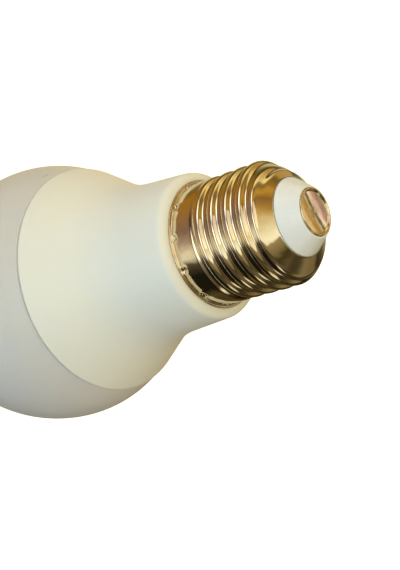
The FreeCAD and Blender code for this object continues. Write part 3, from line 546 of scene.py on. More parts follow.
insulator = dict(
    tipRadius=5.45,
    round=0.38,
    boreRadius=1.95,
    footRadius=9.2,
    footTop=(5.4, 7.65),  # depth where the foot starts, and the neck's radius above it
    seatGap=0.05,  # round the contact
    seatEdge=0.12,
    mouthGap=0.1,
    swell=0.05,  # the cone is a little full
    flankRows=26,
    around=160,
)


def makeInsulator(material):
    # turned: bore, seat of the contact, rounded tip, a cone that swells by sin, and the foot inside the shell
    s = insulator
    top = highDepth("cap_insulator")
    foot = lowDepth("cap_insulator")
    tip = s["tipRadius"]
    bore = s["boreRadius"]
    wide = s["footRadius"]
    footDepth, neck = s["footTop"]
    seat = widest("centre_contact") + s["seatGap"]
    floor = contact["thickness"] + s["seatGap"]
    turn = s["round"]
    edge = s["seatEdge"]
    base = screwShell["mouthRadius"] - s["mouthGap"]
    slope = math.degrees(math.atan2(base - tip, mouthDepth - top))
    outside = joinRuns(
        straight((bore, foot), (bore, floor + 0.02), 6),
        straight((bore, floor), (seat, floor), 6),
        straight((seat, floor - 0.02), (seat, top + 0.1), 4),
        bend((seat + edge, top + edge), edge, 180, 270, 5),
        bend((tip - turn, top + turn), turn, 270, 360 - slope, 9),
    )
    flank = straight(outside[-1], (base, mouthDepth - 0.02), s["flankRows"])
    flank[:, 0] += s["swell"] * np.sin(np.pi * np.linspace(0, 1, s["flankRows"]))
    hidden = joinRuns(
        straight((base - 0.06, mouthDepth), (neck, mouthDepth + 0.02), 3),
        straight((neck, mouthDepth + 0.3), (wide, footDepth), 6),
        straight((wide, footDepth + 0.1), (wide, foot), 4),
        straight((wide - 0.1, foot), (bore, foot), 6),
    )
    profile = joinRuns(outside, flank, hidden)[:-1]
    return spunPiece("capInsulator", profile, s["around"], material, True, "cap_insulator")


contact = dict(
    rim=0.4,
    slope=0.3,  # run of the dish's side
    dish=0.45,
    bowl=0.16,  # how much deeper the middle is
    edge=0.19,
    knee=0.1,  # round where the dish meets its side, and at the shank's root
    chamfer=0.04,
    thickness=0.9,
    shank=1.1,
    tip=0.3,
    around=160,
)


def makeCentreContact(material):
    # turned: a bowl of depth dish + bowl (1 - (r / floor)^2), a steep side, a round rim, the edge, the shank
    c = contact
    radius = widest("centre_contact")
    end = lowDepth("centre_contact")
    floor = radius - c["rim"] - c["slope"]
    x = np.linspace(0.05, floor - 0.1, 26)
    bowl = np.stack([x, c["dish"] + c["bowl"] * (1 - (x / floor) ** 2)], 1)
    knee = c["knee"]
    chamfer = c["chamfer"]
    shank = c["shank"]
    thickness = c["thickness"]
    crown = c["rim"] / 2
    t = np.radians(np.linspace(180, 270, 7))
    rise = np.stack([radius - crown + crown * np.cos(t), 0.12 * (1 + np.sin(t))], 1)
    profile = joinRuns(
        bowl,
        bend((floor, c["dish"] - knee), knee, 90, 34, 5),
        straight((floor + 0.12, c["dish"] - 0.14), (radius - c["rim"] - 0.02, 0.15), 5),
        rise,
        bend((radius - c["edge"], c["edge"]), c["edge"], 270, 360, 8),
        straight((radius, c["edge"] + 0.05), (radius, thickness - chamfer), 4),
        bend((radius - chamfer, thickness - chamfer), chamfer, 0, 90, 3),
        straight((radius - 0.1, thickness), (shank + 0.12, thickness), 5),
        bend((shank + knee, thickness + knee), knee, 270, 180, 4),
        straight((shank, thickness + 0.2), (shank, end - shank), 6),
        straight((shank, end - shank), (c["tip"], end), 5),
    )
    around = c["around"]
    return spunPiece("centreContact", profile, around, material, False, "centre_contact")


# ---- the housing and the dome


housing = dict(
    collarRadius=15.9,
    collarEdge=1.9,
    collarThick=2.0,
    neckTaperDeg=4.5,
    coneDeg=29.5,
    fillet=26.0,
    wall=1.8,
    rimSkin=0.9,
    rimRound=0.45,
    rimBulge=0.62,  # how far the bead's centre lies from the corner, as a share of a full round
    rebate=2.9,  # how far the dome's lip reaches up inside the rim
    spigotBore=10.0,
    slip=0.1,
    around=256,
)

globe = dict(
    widestDepth=75.0,
    inset=0.15,
    shave=0.012,  # keeps the smooth globe inside the box of the faceted one
    wall=1.4,
    seamGap=0.25,
    seamRound=0.12,
    ledge=1.0,  # from the skin to the lip
    lipWall=0.85,
    poleHole=0.02,
    around=240,
)

collarDepth = -mounts["collar_face"]["pos_m"][2] / mm
seamDepth = lowDepth("housing")
globeRadius = widest("diffuser_dome") + globe["inset"]
poleDepth = lowDepth("diffuser_dome")


def skinRuns(offset, edgeRound):
    # the outer skin, moved inwards by offset: collar edge, tapering neck, fillet, cone, down to the seam
    h = housing
    taper = math.radians(h["neckTaperDeg"])
    cone = math.radians(h["coneDeg"])
    centre = (h["collarRadius"] - h["collarEdge"], collarDepth + h["collarEdge"])
    edge = h["collarEdge"] - offset
    neck = (centre[0] + edge * math.cos(taper), centre[1] - edge * math.sin(taper))
    radius = globeRadius - offset
    flank = (radius * math.cos(cone), globe["widestDepth"] - radius * math.sin(cone))
    cross = math.sin(cone) * math.cos(taper) - math.cos(cone) * math.sin(taper)
    run = (math.sin(cone) * (flank[1] - neck[1]) - math.cos(cone) * (flank[0] - neck[0])) / cross
    corner = (neck[0] + run * math.sin(taper), neck[1] + run * math.cos(taper))
    fillet = h["fillet"] + offset
    reach = fillet * math.tan((cone - taper) / 2)
    start = (corner[0] - reach * math.sin(taper), corner[1] - reach * math.cos(taper))
    middle = (start[0] + fillet * math.cos(taper), start[1] - fillet * math.sin(taper))
    end = (corner[0] + reach * math.sin(cone), corner[1] + reach * math.cos(cone))
    seam = (flank[0] - (flank[1] - seamDepth) * math.tan(cone), seamDepth)
    return dict(
        edge=bend(centre, edge, -90, -h["neckTaperDeg"], edgeRound),
        neck=straight(neck, start, 14),
        fillet=bend(middle, fillet, 180 - h["neckTaperDeg"], 180 - h["coneDeg"], 26),
        cone=straight(end, seam, 22),
        end=end,
        seam=seam,
        neckTop=neck,
    )


def makeHousing(material):
    # turned: the skin from the collar's edge to the rim, the rebate, the inside, and the spigot in the cap
    h = housing
    skin = skinRuns(0, 12)
    inside = skinRuns(h["wall"], 2)
    slope = math.radians(h["coneDeg"])
    lean = math.tan(slope)
    # the rim is a soft bead where the cone meets the flat edge
    seam = skin["seam"]
    turn = h["rimRound"]
    rimCentre = (seam[0] - turn * math.tan(math.pi / 4 + slope / 2) * h["rimBulge"], seamDepth - turn)
    rim = bend(rimCentre, turn, -h["coneDeg"], 90, 9)
    cone = straight(skin["end"], rim[0], 30)
    lipOuter = seam[0] - h["rimSkin"] / math.cos(slope)
    rebate = seamDepth - h["rebate"]
    back = h["rebate"] * lean
    wallInner = seam[0] - h["wall"] / math.cos(slope) - back
    lower = joinRuns(
        straight((rimCentre[0] - 0.05, seamDepth), (lipOuter, seamDepth), 3),
        straight((lipOuter, seamDepth), (lipOuter - back, rebate), 5),
        straight((lipOuter - back, rebate), (wallInner, rebate), 3),
    )
    floor = collarDepth + h["collarThick"]
    up = joinRuns(inside["neck"], inside["fillet"], inside["cone"])
    up = up[(up[:, 1] < rebate - 0.2) & (up[:, 1] > floor)][::-1]
    bore = h["spigotBore"]
    slip = h["slip"]
    top = highDepth("housing")
    root = screwShell["rootRadius"] - screwShell["sheet"] - slip
    shirt = skirtRadius - screwShell["sheet"] - slip
    step = screwShell["skirtStart"] + slip
    recess = flangeRadius + slip
    inner = joinRuns(
        straight((inside["neckTop"][0], floor), (bore, floor), 4),
        straight((bore, floor), (bore, top), 8),
        straight((bore, top), (root, top), 3),
        straight((root, top), (root, step), 8),
        straight((root, step), (shirt, step), 2),
        straight((shirt, step), (shirt, flangeFloor), 4),
        straight((shirt, flangeFloor), (recess, flangeFloor), 3),
        straight((recess, flangeFloor), (recess, collarDepth + 0.03), 3),
        straight((recess + 0.03, collarDepth), skin["edge"][0], 3),
    )
    profile = joinRuns(skin["edge"], skin["neck"], skin["fillet"], cone, rim, lower, up, inner)[:-1]
    return spunPiece("housingShell", profile, h["around"], material, True, "housing")


def makeDome(material):
    # turned: the cone's tangent, the globe, then half an ellipse r = R cos t, z = h sin t to the pole
    g = globe
    top = highDepth("diffuser_dome")
    start = seamDepth + g["seamGap"]
    outer = globeRadius - g["inset"] - g["shave"]
    high = poleDepth - g["widestDepth"]
    cone = math.radians(housing["coneDeg"])

    def wallAt(shift, first):
        # starts on the cone, or on the globe itself where first is below the cone
        radius = outer - shift
        flank = (radius * math.cos(cone), g["widestDepth"] - radius * math.sin(cone))
        begin = (flank[0] - (flank[1] - first) * math.tan(cone), first)
        t = np.linspace(0, 1, 60)[1:-1] * (np.pi / 2)
        low = np.stack([radius * np.cos(t), g["widestDepth"] + (high - shift) * np.sin(t)], 1)
        onCone = first < flank[1]
        lean = housing["coneDeg"] if onCone else math.degrees(math.asin((g["widestDepth"] - first) / radius))
        globeRun = bend((0, g["widestDepth"]), radius, -lean, 0, 22)
        if onCone:
            return joinRuns(straight(begin, flank, 3), globeRun, low)
        return joinRuns(globeRun, low)

    turn = g["seamRound"]
    outside = wallAt(0, start + turn)
    inside = wallAt(g["wall"], start + g["wall"])[::-1]
    edge = outside[0]
    knee = joinRuns(
        straight((edge[0] - g["ledge"], start), (edge[0] - 0.16, start), 3),
        bend((edge[0] - 0.14, start + turn), turn, -90, -20, 4),
    )
    flankDepth = g["widestDepth"] - globeRadius * math.sin(cone)
    lip = globeRadius * math.cos(cone) - (flankDepth - top) * math.tan(cone) - g["ledge"] / math.cos(cone)
    lipRun = joinRuns(
        straight((inside[-1][0] - 0.3, start + 1.1), (lip - g["lipWall"] - 0.07, top), 5),
        straight((lip - g["lipWall"], top), (lip, top), 3),
        straight((lip, top), (lip + (start - top) * math.tan(cone), start - 0.02), 5),
    )
    hole = g["poleHole"]
    pole = np.array([[hole, poleDepth]])
    back = np.array([[hole, poleDepth - g["wall"]]])
    # one run from the outer pole up the outside, over the edge, round the lip and down to the inner pole
    run = joinRuns(pole, joinRuns(knee, outside)[::-1], lipRun[::-1], inside[::-1], back)
    return spunPiece("diffuserDome", run, g["around"], material, False, "diffuser_dome")


makeScrewShell(makePlatedMetal())
makeInsulator(makeWhiteCone())
makeCentreContact(makeContactDisc())
makeHousing(makeHousingPlastic())
makeDome(makeDomePlastic())
print("outer pieces made")


# ---- finishes of the pieces inside

# tone and shade mix in clouds of patch waves per metre, and rough is the range of roughness.
# grain is (waves, height), bands (axis, waves, height, share of tint), traces (tint, waves, height, turn of
# the plane), specks (cells, radius, tint), and brushed stretches the clouds along an axis.
insideFinishes = dict(
    siliconeBead=dict(
        nodes=["dome_sealant"],
        tone=(0.84, 0.84, 0.81), shade=(0.76, 0.75, 0.70), patch=300, rough=(0.30, 0.55),
        grain=(700, 0.00004),
    ),
    drawnAluminium=dict(
        nodes=["heat_sink"],
        tone=(0.78, 0.79, 0.80), shade=(0.62, 0.63, 0.65), patch=160, metal=1.0, rough=(0.24, 0.42),
        brushed=(1, 1, 26), grain=(420, 0.000006),
    ),
    greyPad=dict(
        nodes=["thermal_pad"],
        tone=(0.60, 0.65, 0.70), shade=(0.50, 0.55, 0.61), patch=420, rough=(0.6, 0.85),
        grain=(2600, 0.00003),
    ),
    whiteBoard=dict(
        nodes=["led_board"],
        tone=(0.93, 0.93, 0.91), shade=(0.86, 0.87, 0.86), patch=90, rough=(0.28, 0.42),
        grain=(1800, 0.000008), traces=((0.80, 0.82, 0.80), 150, 0.00002, 0),
    ),
    whitePackage=dict(
        nodes=["white_led_bodies", "colour_led_bodies"],
        tone=(0.90, 0.88, 0.83), shade=(0.83, 0.80, 0.74), patch=900, rough=(0.35, 0.5),
        grain=(4200, 0.000006),
    ),
    warmPhosphor=dict(
        nodes=["warm_phosphors"],
        tone=(0.94, 0.60, 0.10), shade=(0.86, 0.48, 0.06), patch=1500, rough=(0.12, 0.3),
        grain=(5200, 0.000006), specks=(2600, 0.2, (1.0, 0.78, 0.3)),
    ),
    coolPhosphor=dict(
        nodes=["cool_phosphors"],
        tone=(0.94, 0.85, 0.20), shade=(0.88, 0.76, 0.12), patch=1500, rough=(0.12, 0.3),
        grain=(5200, 0.000006), specks=(2600, 0.2, (1.0, 0.95, 0.5)),
    ),
    clearWindow=dict(
        nodes=["colour_led_windows"],
        tone=(0.80, 0.82, 0.80), shade=(0.55, 0.58, 0.56), patch=1200, rough=(0.05, 0.14),
        grain=(3000, 0.000003), specks=(900, 0.3, (0.25, 0.27, 0.24)),
    ),
    zincSteel=dict(
        nodes=["led_board_screws"],
        tone=(0.72, 0.73, 0.75), shade=(0.60, 0.60, 0.58), patch=800, metal=1.0, rough=(0.18, 0.36),
        bands=("Z", 1200, 0.00002, 0.0),
    ),
    sleeveBlack=dict(
        nodes=["driver_sleeve"],
        tone=(0.028, 0.028, 0.031), shade=(0.045, 0.045, 0.048), patch=200, rough=(0.42, 0.6),
        grain=(2400, 0.00002),
    ),
    redInsulation=dict(
        nodes=["live_lead"],
        tone=(0.50, 0.035, 0.02), shade=(0.40, 0.025, 0.015), patch=900, rough=(0.35, 0.55),
        grain=(3500, 0.00001),
    ),
    blackInsulation=dict(
        nodes=["neutral_lead"],
        tone=(0.018, 0.018, 0.020), shade=(0.03, 0.03, 0.032), patch=900, rough=(0.35, 0.55),
        grain=(3500, 0.00001),
    ),
    greenBoard=dict(
        nodes=["driver_board"],
        tone=(0.015, 0.13, 0.05), shade=(0.01, 0.095, 0.035), patch=160, rough=(0.22, 0.36),
        grain=(2200, 0.000008), traces=((0.035, 0.25, 0.10), 360, 0.00003, 90),
    ),
    shrinkSleeve=dict(
        nodes=["bulk_capacitor", "output_capacitor"],
        tone=(0.012, 0.016, 0.07), shade=(0.02, 0.025, 0.10), patch=300, rough=(0.2, 0.34),
        grain=(700, 0.00002), brushed=(1, 1, 0.3),
    ),
    tinnedWire=dict(
        nodes=["capacitor_leads", "fuse_leads", "varistor_leads", "transformer_pins", "chip_legs"],
        tone=(0.80, 0.80, 0.79), shade=(0.64, 0.64, 0.62), patch=1300, metal=1.0, rough=(0.16, 0.34),
        grain=(2600, 0.00001),
    ),
    cementCoat=dict(
        nodes=["fuse_resistor"],
        tone=(0.22, 0.34, 0.31), shade=(0.17, 0.27, 0.25), patch=600, rough=(0.4, 0.6),
        grain=(1500, 0.00003), bands=("Z", 190, 0.00001, 0.35),
    ),
    blueEpoxy=dict(
        nodes=["surge_varistor"],
        tone=(0.02, 0.09, 0.30), shade=(0.015, 0.06, 0.22), patch=500, rough=(0.16, 0.34),
        grain=(620, 0.00006),
    ),
    ferriteGrey=dict(
        nodes=["choke_core", "transformer_core"],
        tone=(0.035, 0.035, 0.038), shade=(0.06, 0.058, 0.055), patch=900, rough=(0.5, 0.7),
        grain=(3600, 0.00003), specks=(3000, 0.16, (0.12, 0.12, 0.12)),
    ),
    copperTurns=dict(
        nodes=["choke_winding"],
        tone=(0.72, 0.30, 0.10), shade=(0.52, 0.19, 0.06), patch=700, metal=1.0, rough=(0.2, 0.34),
        bands=("Y", 1300, 0.00012, 0.45),
    ),
    filmBox=dict(
        nodes=["film_capacitor"],
        tone=(0.60, 0.40, 0.025), shade=(0.50, 0.33, 0.02), patch=400, rough=(0.22, 0.38),
        grain=(2600, 0.000012),
    ),
    phenolBlack=dict(
        nodes=["transformer_bobbin"],
        tone=(0.02, 0.02, 0.02), shade=(0.035, 0.034, 0.032), patch=500, rough=(0.35, 0.5),
        grain=(2600, 0.00002),
    ),
    yellowTape=dict(
        nodes=["transformer_winding"],
        tone=(0.72, 0.47, 0.02), shade=(0.62, 0.38, 0.015), patch=300, rough=(0.16, 0.3),
        bands=("Z", 120, 0.00002, 0.2), grain=(900, 0.00001),
    ),
    mouldedChip=dict(
        nodes=["bridge_rectifier", "driver_chip", "output_diode", "radio_chip"],
        tone=(0.014, 0.014, 0.015), shade=(0.024, 0.024, 0.025), patch=1200, rough=(0.42, 0.6),
        grain=(5200, 0.000015), specks=(4200, 0.12, (0.05, 0.05, 0.05)),
    ),
    glazedChip=dict(
        nodes=["chip_resistors"],
        tone=(0.02, 0.02, 0.022), shade=(0.04, 0.04, 0.04), patch=1800, rough=(0.15, 0.3),
        grain=(4200, 0.00001),
    ),
    tanCeramic=dict(
        nodes=["chip_capacitors"],
        tone=(0.36, 0.22, 0.10), shade=(0.29, 0.17, 0.075), patch=2200, rough=(0.45, 0.6),
        grain=(5200, 0.00001),
    ),
    darkBoard=dict(
        nodes=["module_board"],
        tone=(0.008, 0.013, 0.026), shade=(0.012, 0.02, 0.038), patch=260, rough=(0.24, 0.4),
        grain=(2600, 0.000008), traces=((0.03, 0.05, 0.085), 450, 0.00002, 90),
    ),
    tinnedCan=dict(
        nodes=["module_shield"],
        tone=(0.80, 0.80, 0.77), shade=(0.68, 0.68, 0.64), patch=260, metal=1.0, rough=(0.22, 0.38),
        brushed=(1, 1, 18), grain=(600, 0.00001),
    ),
    goldCopper=dict(
        nodes=["module_antenna"],
        tone=(0.86, 0.58, 0.24), shade=(0.72, 0.42, 0.16), patch=1300, metal=1.0, rough=(0.24, 0.4),
        grain=(3600, 0.000008),
    ),
    blackNylon=dict(
        nodes=["module_header", "board_header"],
        tone=(0.018, 0.018, 0.02), shade=(0.03, 0.03, 0.032), patch=700, rough=(0.4, 0.55),
        grain=(3600, 0.00001),
    ),
    goldPins=dict(
        nodes=["module_pins", "board_pins"],
        tone=(0.88, 0.68, 0.32), shade=(0.76, 0.54, 0.22), patch=1500, metal=1.0, rough=(0.14, 0.28),
        brushed=(1, 1, 0.2), grain=(2600, 0.000006),
    ),
    whiteNylon=dict(
        nodes=["board_socket"],
        tone=(0.86, 0.86, 0.82), shade=(0.79, 0.78, 0.73), patch=500, rough=(0.36, 0.52),
        grain=(3000, 0.00001),
    ),
)


def wave(tree, spot, direction, scale):
    node = tree.nodes.new("ShaderNodeTexWave")
    node.wave_type = "BANDS"
    node.bands_direction = direction
    setSockets(node, Scale=scale, Distortion=0.6, Detail=1.5)
    tree.links.new(spot, node.inputs["Vector"])
    return node.outputs["Fac"]


def boardTracks(tree, spot, size, lean):
    # copper under the mask: the joints of a brick pattern in the board's plane, broken up by a noise
    bricks = tree.nodes.new("ShaderNodeTexBrick")
    bricks.offset = 0.37
    bricks.squash = 0.55
    bricks.squash_frequency = 3
    setSockets(bricks, Scale=size, Mortar_Size=0.07, Mortar_Smooth=0.1, Brick_Width=1.9, Row_Height=0.42)
    tree.links.new(objectSpot(tree, turn=(math.radians(lean), 0, 0)), bricks.inputs["Vector"])
    broken = remap(tree, noise(tree, spot, size * 0.9, 1, 0.4), 0.40, 0.43, 0, 1)
    return mathNode(tree, "MULTIPLY", bricks.outputs["Fac"], broken)


def makeFinish(name, look):
    # each step lays its bump over the one before
    material, tree, shader = newMaterial(name)
    spot = objectSpot(tree)
    stretched = objectSpot(tree, look.get("brushed", (1, 1, 1)))
    cloud = noise(tree, stretched, look["patch"], 4, 0.6)
    colour = ramp(tree, cloud, [(0.35, look["tone"]), (0.7, look["shade"])])
    tree.links.new(remap(tree, cloud, 0.3, 0.75, *look["rough"]), shader.inputs["Roughness"])
    setSockets(shader, Metallic=look.get("metal", 0.0))
    under = None
    if "grain" in look:
        under = noiseBump(tree, shader, spot, look["grain"])
    if "bands" in look:
        direction, size, height, depth = look["bands"]
        turns = wave(tree, spot, direction, size)
        share = mathNode(tree, "MULTIPLY", turns, depth)
        colour = mixColour(tree, share, colour, look["shade"])
        under = bump(tree, shader, turns, height, under=under)
    if "traces" in look:
        tint, size, height, lean = look["traces"]
        track = boardTracks(tree, spot, size, lean)
        colour = mixColour(tree, track, colour, tint)
        bump(tree, shader, track, height, under=under)
    if "specks" in look:
        size, radius, tint = look["specks"]
        dots = tree.nodes.new("ShaderNodeTexVoronoi")
        setSockets(dots, Scale=size, Randomness=1.0)
        tree.links.new(spot, dots.inputs["Vector"])
        isDot = mathNode(tree, "LESS_THAN", dots.outputs["Distance"], radius)
        colour = mixColour(tree, isDot, colour, tint)
    tree.links.new(colour, shader.inputs["Base Color"])
    return material


for finishName, look in insideFinishes.items():
    finish = makeFinish(finishName, look)
    for nodeName in look["nodes"]:
        for place in frame["nodes"][nodeName].material_slots:
            place.material = finish
finished = [nodeName for look in insideFinishes.values() for nodeName in look["nodes"]]
print("inside finished:", len(finished), "nodes in", len(insideFinishes), "finishes")


# ---- camera, floor and light


camera = dict(spot=(0.0, -180.93, 116.27), aim=(7.5, -0.31, -33.32), rollDeg=73.98, lens=69.47)


def placeCamera():
    data = bpy.data.cameras.new("lampCamera")
    data.lens = camera["lens"]
    data.sensor_width = 36.0
    data.clip_start = 0.01
    data.clip_end = 20.0
    eye = bpy.data.objects.new("lampCamera", data)
    bpy.context.scene.collection.objects.link(eye)
    spot = Vector(camera["spot"]) * mm
    toward = Vector(camera["aim"]) * mm - spot
    upright = toward.to_track_quat("-Z", "Y").to_matrix()
    roll = Matrix.Rotation(math.radians(camera["rollDeg"]), 3, "Z")
    eye.matrix_world = Matrix.Translation(spot) @ (upright @ roll).to_4x4()
    bpy.context.scene.camera = eye


floorLook = dict(drop=0.22, size=3.0, glow=0.62, patch=3, colour=grey(0.9), shade=grey(0.88))


def makeFloor():
    # a level square below the lamp
    low = cadBox[0].z - floorLook["drop"]
    half = floorLook["size"]
    corners = [(-half, -half, low), (half, -half, low), (half, half, low), (-half, half, low)]
    mesh = bpy.data.meshes.new("floor")
    mesh.from_pydata(corners, [], [(0, 1, 2, 3)])
    plane = bpy.data.objects.new("floor", mesh)
    bpy.context.scene.collection.objects.link(plane)
    material, tree, shader = newMaterial("floorPale")
    tint = noise(tree, objectSpot(tree), floorLook["patch"], 3, 0.5)
    colour = ramp(tree, tint, [(0.3, floorLook["colour"]), (0.7, floorLook["shade"])])
    tree.links.new(colour, shader.inputs["Base Color"])
    setSockets(shader, Roughness=0.9, Emission_Strength=floorLook["glow"])
    shader.inputs["Emission Color"].default_value = (1, 1, 1, 1)
    mesh.materials.append(material)
    plane.visible_glossy = False
    plane.visible_diffuse = False


# the light that reaches matt surfaces, by the side it comes from
roomLight = dict(
    right=(0.26, 0.21, 0.15),
    left=(0.87, 0.77, 0.60),
    back=(0.50, 0.46, 0.40),
    front=(0.95, 1.22, 1.40),
    above=(1.22, 0.97, 0.42),
    below=(0.34, 0.27, 0.19),
)

# what polished metal mirrors, as (place, colour): level and windows run round the room from the back over the
# right to the front (0.5) and the left, ceiling and under run from left to right, and behind is the far wall
mirrorRoom = dict(
    level=[
        (0.0, (0.42, 0.36, 0.19)), (0.06, (0.18, 0.135, 0.06)), (0.11, (0.09, 0.062, 0.028)),
        (0.17, (0.075, 0.045, 0.012)), (0.22, (0.10, 0.07, 0.025)), (0.27, (0.015, 0.012, 0.005)),
        (0.38, (0.012, 0.012, 0.008)), (0.44, (0.12, 0.09, 0.05)), (0.47, (0.95, 0.88, 0.66)),
        (0.505, (0.95, 0.86, 0.62)), (0.54, (0.50, 0.38, 0.28)), (0.61, (0.29, 0.18, 0.12)),
        (0.72, (0.40, 0.20, 0.04)), (0.78, (0.42, 0.20, 0.02)), (0.84, (0.22, 0.13, 0.03)),
        (0.89, (0.48, 0.39, 0.19)), (0.94, (0.80, 0.66, 0.31)), (1.0, (0.42, 0.36, 0.19)),
    ],
    windows=[
        (0.0, (0.34, 0.23, 0.08)), (0.06, (0.18, 0.13, 0.06)), (0.14, (0.26, 0.20, 0.09)),
        (0.18, (0.08, 0.06, 0.025)), (0.225, (0.06, 0.045, 0.02)), (0.245, (1.00, 0.90, 0.62)),
        (0.275, (0.95, 0.82, 0.52)), (0.295, (0.10, 0.07, 0.03)), (0.38, (0.12, 0.09, 0.05)),
        (0.44, (0.30, 0.26, 0.18)), (0.47, (1.55, 1.50, 1.25)), (0.56, (1.85, 1.85, 1.75)),
        (0.60, (0.55, 0.48, 0.40)), (0.64, (1.75, 1.75, 1.60)), (0.70, (1.50, 1.42, 1.10)),
        (0.75, (0.50, 0.34, 0.12)), (0.81, (1.15, 0.90, 0.36)), (0.88, (0.50, 0.30, 0.07)),
        (1.0, (0.55, 0.40, 0.16)),
    ],
    ceiling=[
        (0.0, (0.20, 0.11, 0.02)), (0.20, (0.55, 0.30, 0.04)), (0.26, (0.28, 0.14, 0.03)),
        (0.34, (0.52, 0.31, 0.07)), (0.42, (0.80, 0.62, 0.30)), (0.50, (0.95, 0.84, 0.54)),
        (0.60, (1.15, 1.08, 0.80)), (0.635, (1.15, 1.06, 0.74)), (0.65, (0.38, 0.27, 0.13)),
        (0.73, (0.24, 0.18, 0.07)), (0.77, (0.05, 0.035, 0.01)), (0.84, (0.16, 0.12, 0.06)),
        (1.0, (0.05, 0.04, 0.02)),
    ],
    under=[
        (0.0, (0.42, 0.24, 0.06)), (0.3, (0.38, 0.22, 0.09)), (0.5, (0.34, 0.21, 0.15)),
        (0.58, (0.10, 0.07, 0.045)), (1.0, (0.06, 0.045, 0.02)),
    ],
    behind=[
        (0.0, (0.45, 0.32, 0.12)), (0.14, (0.60, 0.50, 0.30)), (0.21, (1.10, 0.92, 0.58)),
        (0.27, (0.72, 0.45, 0.14)), (0.37, (0.45, 0.27, 0.06)), (0.42, (0.42, 0.28, 0.09)),
        (0.455, (0.85, 0.72, 0.46)), (0.49, (0.18, 0.13, 0.05)), (0.54, (0.22, 0.18, 0.09)),
        (0.58, (0.80, 0.70, 0.50)), (0.62, (1.20, 1.08, 0.88)), (0.655, (0.80, 0.36, 0.24)),
        (0.70, (0.50, 0.18, 0.12)), (0.735, (0.42, 0.46, 0.50)), (0.79, (0.30, 0.19, 0.09)),
        (0.86, (0.50, 0.34, 0.09)), (1.0, (0.62, 0.52, 0.34)),
    ],
)


# where the zones of the mirrored room pass into each other, in the direction's height, depth and width
roomZones = dict(
    level=(-0.90, -0.80),
    windows=(0.0, 0.14),
    ceiling=(0.46, 0.64),
    behindDepth=(0.30, 0.46),
    behindHeight=(0.10, 0.22),
    behindWidth=(0.22, 0.34),
    behindLean=0.6,  # how much its strips lean
    behindRange=(0.36, 0.72),
    wobble=(3.0, 0.03),
    # dark frames between the zones, by height from 0 to 1
    frames=[
        (0.0, grey(1)),
        (0.38, grey(0.8)),
        (0.44, grey(0.35)),
        (0.505, grey(0.15)),
        (0.56, grey(1)),
        (0.71, grey(1)),
        (0.755, grey(0.4)),
        (0.79, grey(0.4)),
        (0.86, grey(1)),
        (1.0, grey(1)),
    ],
)


def sideLight(tree, axis, toward, away):
    # one axis of the room: its colour times the square of the direction's part along it
    colour = mixColour(tree, mathNode(tree, "GREATER_THAN", axis, 0.0), away, toward)
    scaled = tree.nodes.new("ShaderNodeVectorMath")
    scaled.operation = "SCALE"
    tree.links.new(colour, scaled.inputs[0])
    tree.links.new(mathNode(tree, "MULTIPLY", axis, axis), scaled.inputs["Scale"])
    return scaled.outputs["Vector"]


def softRoom(tree, x, y, z):
    # the sum of the three axes' light
    light = roomLight
    total = sideLight(tree, x, light["right"], light["left"])
    for axis, toward, away in ((y, "back", "front"), (z, "above", "below")):
        summed = tree.nodes.new("ShaderNodeVectorMath")
        tree.links.new(total, summed.inputs[0])
        tree.links.new(sideLight(tree, axis, light[toward], light[away]), summed.inputs[1])
        total = summed.outputs["Vector"]
    return total


def polishedRoom(tree, spot, x, y, z):
    # zones stacked by height, each a ramp round the room or across it, and the far wall's leaning strips
    room, zones = mirrorRoom, roomZones
    left = mathNode(tree, "MULTIPLY", x, -1.0)
    front = mathNode(tree, "MULTIPLY", y, -1.0)
    turn = mathNode(tree, "ARCTAN2", left, front)
    size, reach = zones["wobble"]
    shift = remap(tree, noise(tree, spot, size, 3, 0.6), 0, 1, -reach, reach)
    around = mathNode(tree, "ADD", remap(tree, turn, -math.pi, math.pi, 0, 1), shift)
    across = mathNode(tree, "ADD", remap(tree, x, -1, 1, 0, 1), shift)
    height = mathNode(tree, "ADD", z, shift)
    mirrored = ramp(tree, across, room["under"])
    for zone, place in (("level", around), ("windows", around), ("ceiling", across)):
        share = remap(tree, height, *zones[zone], 0, 1)
        mirrored = mixColour(tree, share, mirrored, ramp(tree, place, room[zone]))
    frames = ramp(tree, remap(tree, height, -1, 1, 0, 1), zones["frames"])
    mirrored = mixColour(tree, 1.0, mirrored, frames, "MULTIPLY")
    lean = mathNode(tree, "ADD", z, mathNode(tree, "MULTIPLY", x, zones["behindLean"]))
    strips = ramp(tree, remap(tree, lean, *zones["behindRange"], 0, 1), room["behind"])
    deep = remap(tree, y, *zones["behindDepth"], 0, 1)
    risen = remap(tree, z, *zones["behindHeight"], 0, 1)
    aside = remap(tree, mathNode(tree, "ABSOLUTE", x), *zones["behindWidth"], 1, 0)
    isBack = mathNode(tree, "MULTIPLY", mathNode(tree, "MULTIPLY", deep, risen), aside)
    return mixColour(tree, isBack, mirrored, strips)


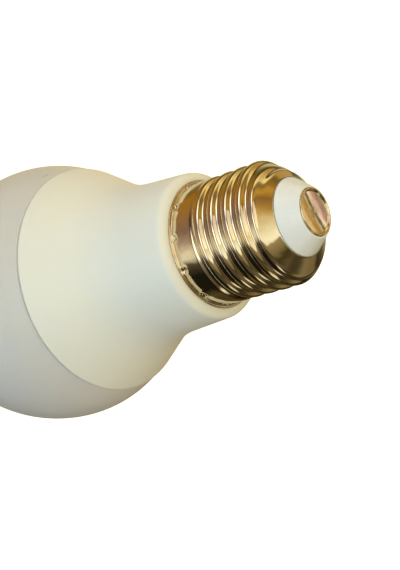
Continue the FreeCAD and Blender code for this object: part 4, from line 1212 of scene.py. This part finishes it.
def makeRoom():
    # matt surfaces get the soft light, polished ones mirror the room, and behind the lamp it is white
    world = bpy.data.worlds.new("room")
    bpy.context.scene.world = world
    world.use_nodes = True
    tree = world.node_tree
    tree.nodes.clear()
    direction = tree.nodes.new("ShaderNodeTexCoord").outputs["Generated"]
    split = tree.nodes.new("ShaderNodeSeparateXYZ")
    tree.links.new(direction, split.inputs["Vector"])
    x, y, z = (split.outputs[k] for k in "XYZ")
    path = tree.nodes.new("ShaderNodeLightPath")
    pale = tree.nodes.new("ShaderNodeBackground")
    gloss = tree.nodes.new("ShaderNodeBackground")
    white = tree.nodes.new("ShaderNodeBackground")
    tree.links.new(softRoom(tree, x, y, z), pale.inputs["Color"])
    tree.links.new(polishedRoom(tree, direction, x, y, z), gloss.inputs["Color"])
    white.inputs["Color"].default_value = (1, 1, 1, 1)
    shown = pale.outputs[0]
    for ray, light in (("Is Glossy Ray", gloss), ("Is Camera Ray", white)):
        choice = tree.nodes.new("ShaderNodeMixShader")
        tree.links.new(path.outputs[ray], choice.inputs[0])
        tree.links.new(shown, choice.inputs[1])
        tree.links.new(light.outputs[0], choice.inputs[2])
        shown = choice.outputs[0]
    out = tree.nodes.new("ShaderNodeOutputWorld")
    tree.links.new(shown, out.inputs["Surface"])


overhead = dict(
    direction=(-0.35, -0.45, 1.0),
    aim=(0, 0, -0.045),
    distance=0.8,
    size=0.5,
    power=0.35,
    colour=(1.0, 0.98, 0.92),
)


def placeOverhead():
    data = bpy.data.lights.new("overhead", "AREA")
    data.shape = "DISK"
    data.size = overhead["size"]
    data.energy = overhead["power"]
    data.color = overhead["colour"]
    lamp = bpy.data.objects.new("overhead", data)
    bpy.context.scene.collection.objects.link(lamp)
    aim = Vector(overhead["aim"])
    lamp.location = aim + Vector(overhead["direction"]).normalized() * overhead["distance"]
    lamp.rotation_euler = (aim - lamp.location).to_track_quat("-Z", "Y").to_euler()
    lamp.visible_camera = False


placeCamera()
makeFloor()
makeRoom()
placeOverhead()
scene = bpy.context.scene
scene.view_settings.view_transform = "Standard"
scene.view_settings.look = "None"
print("camera and light placed")
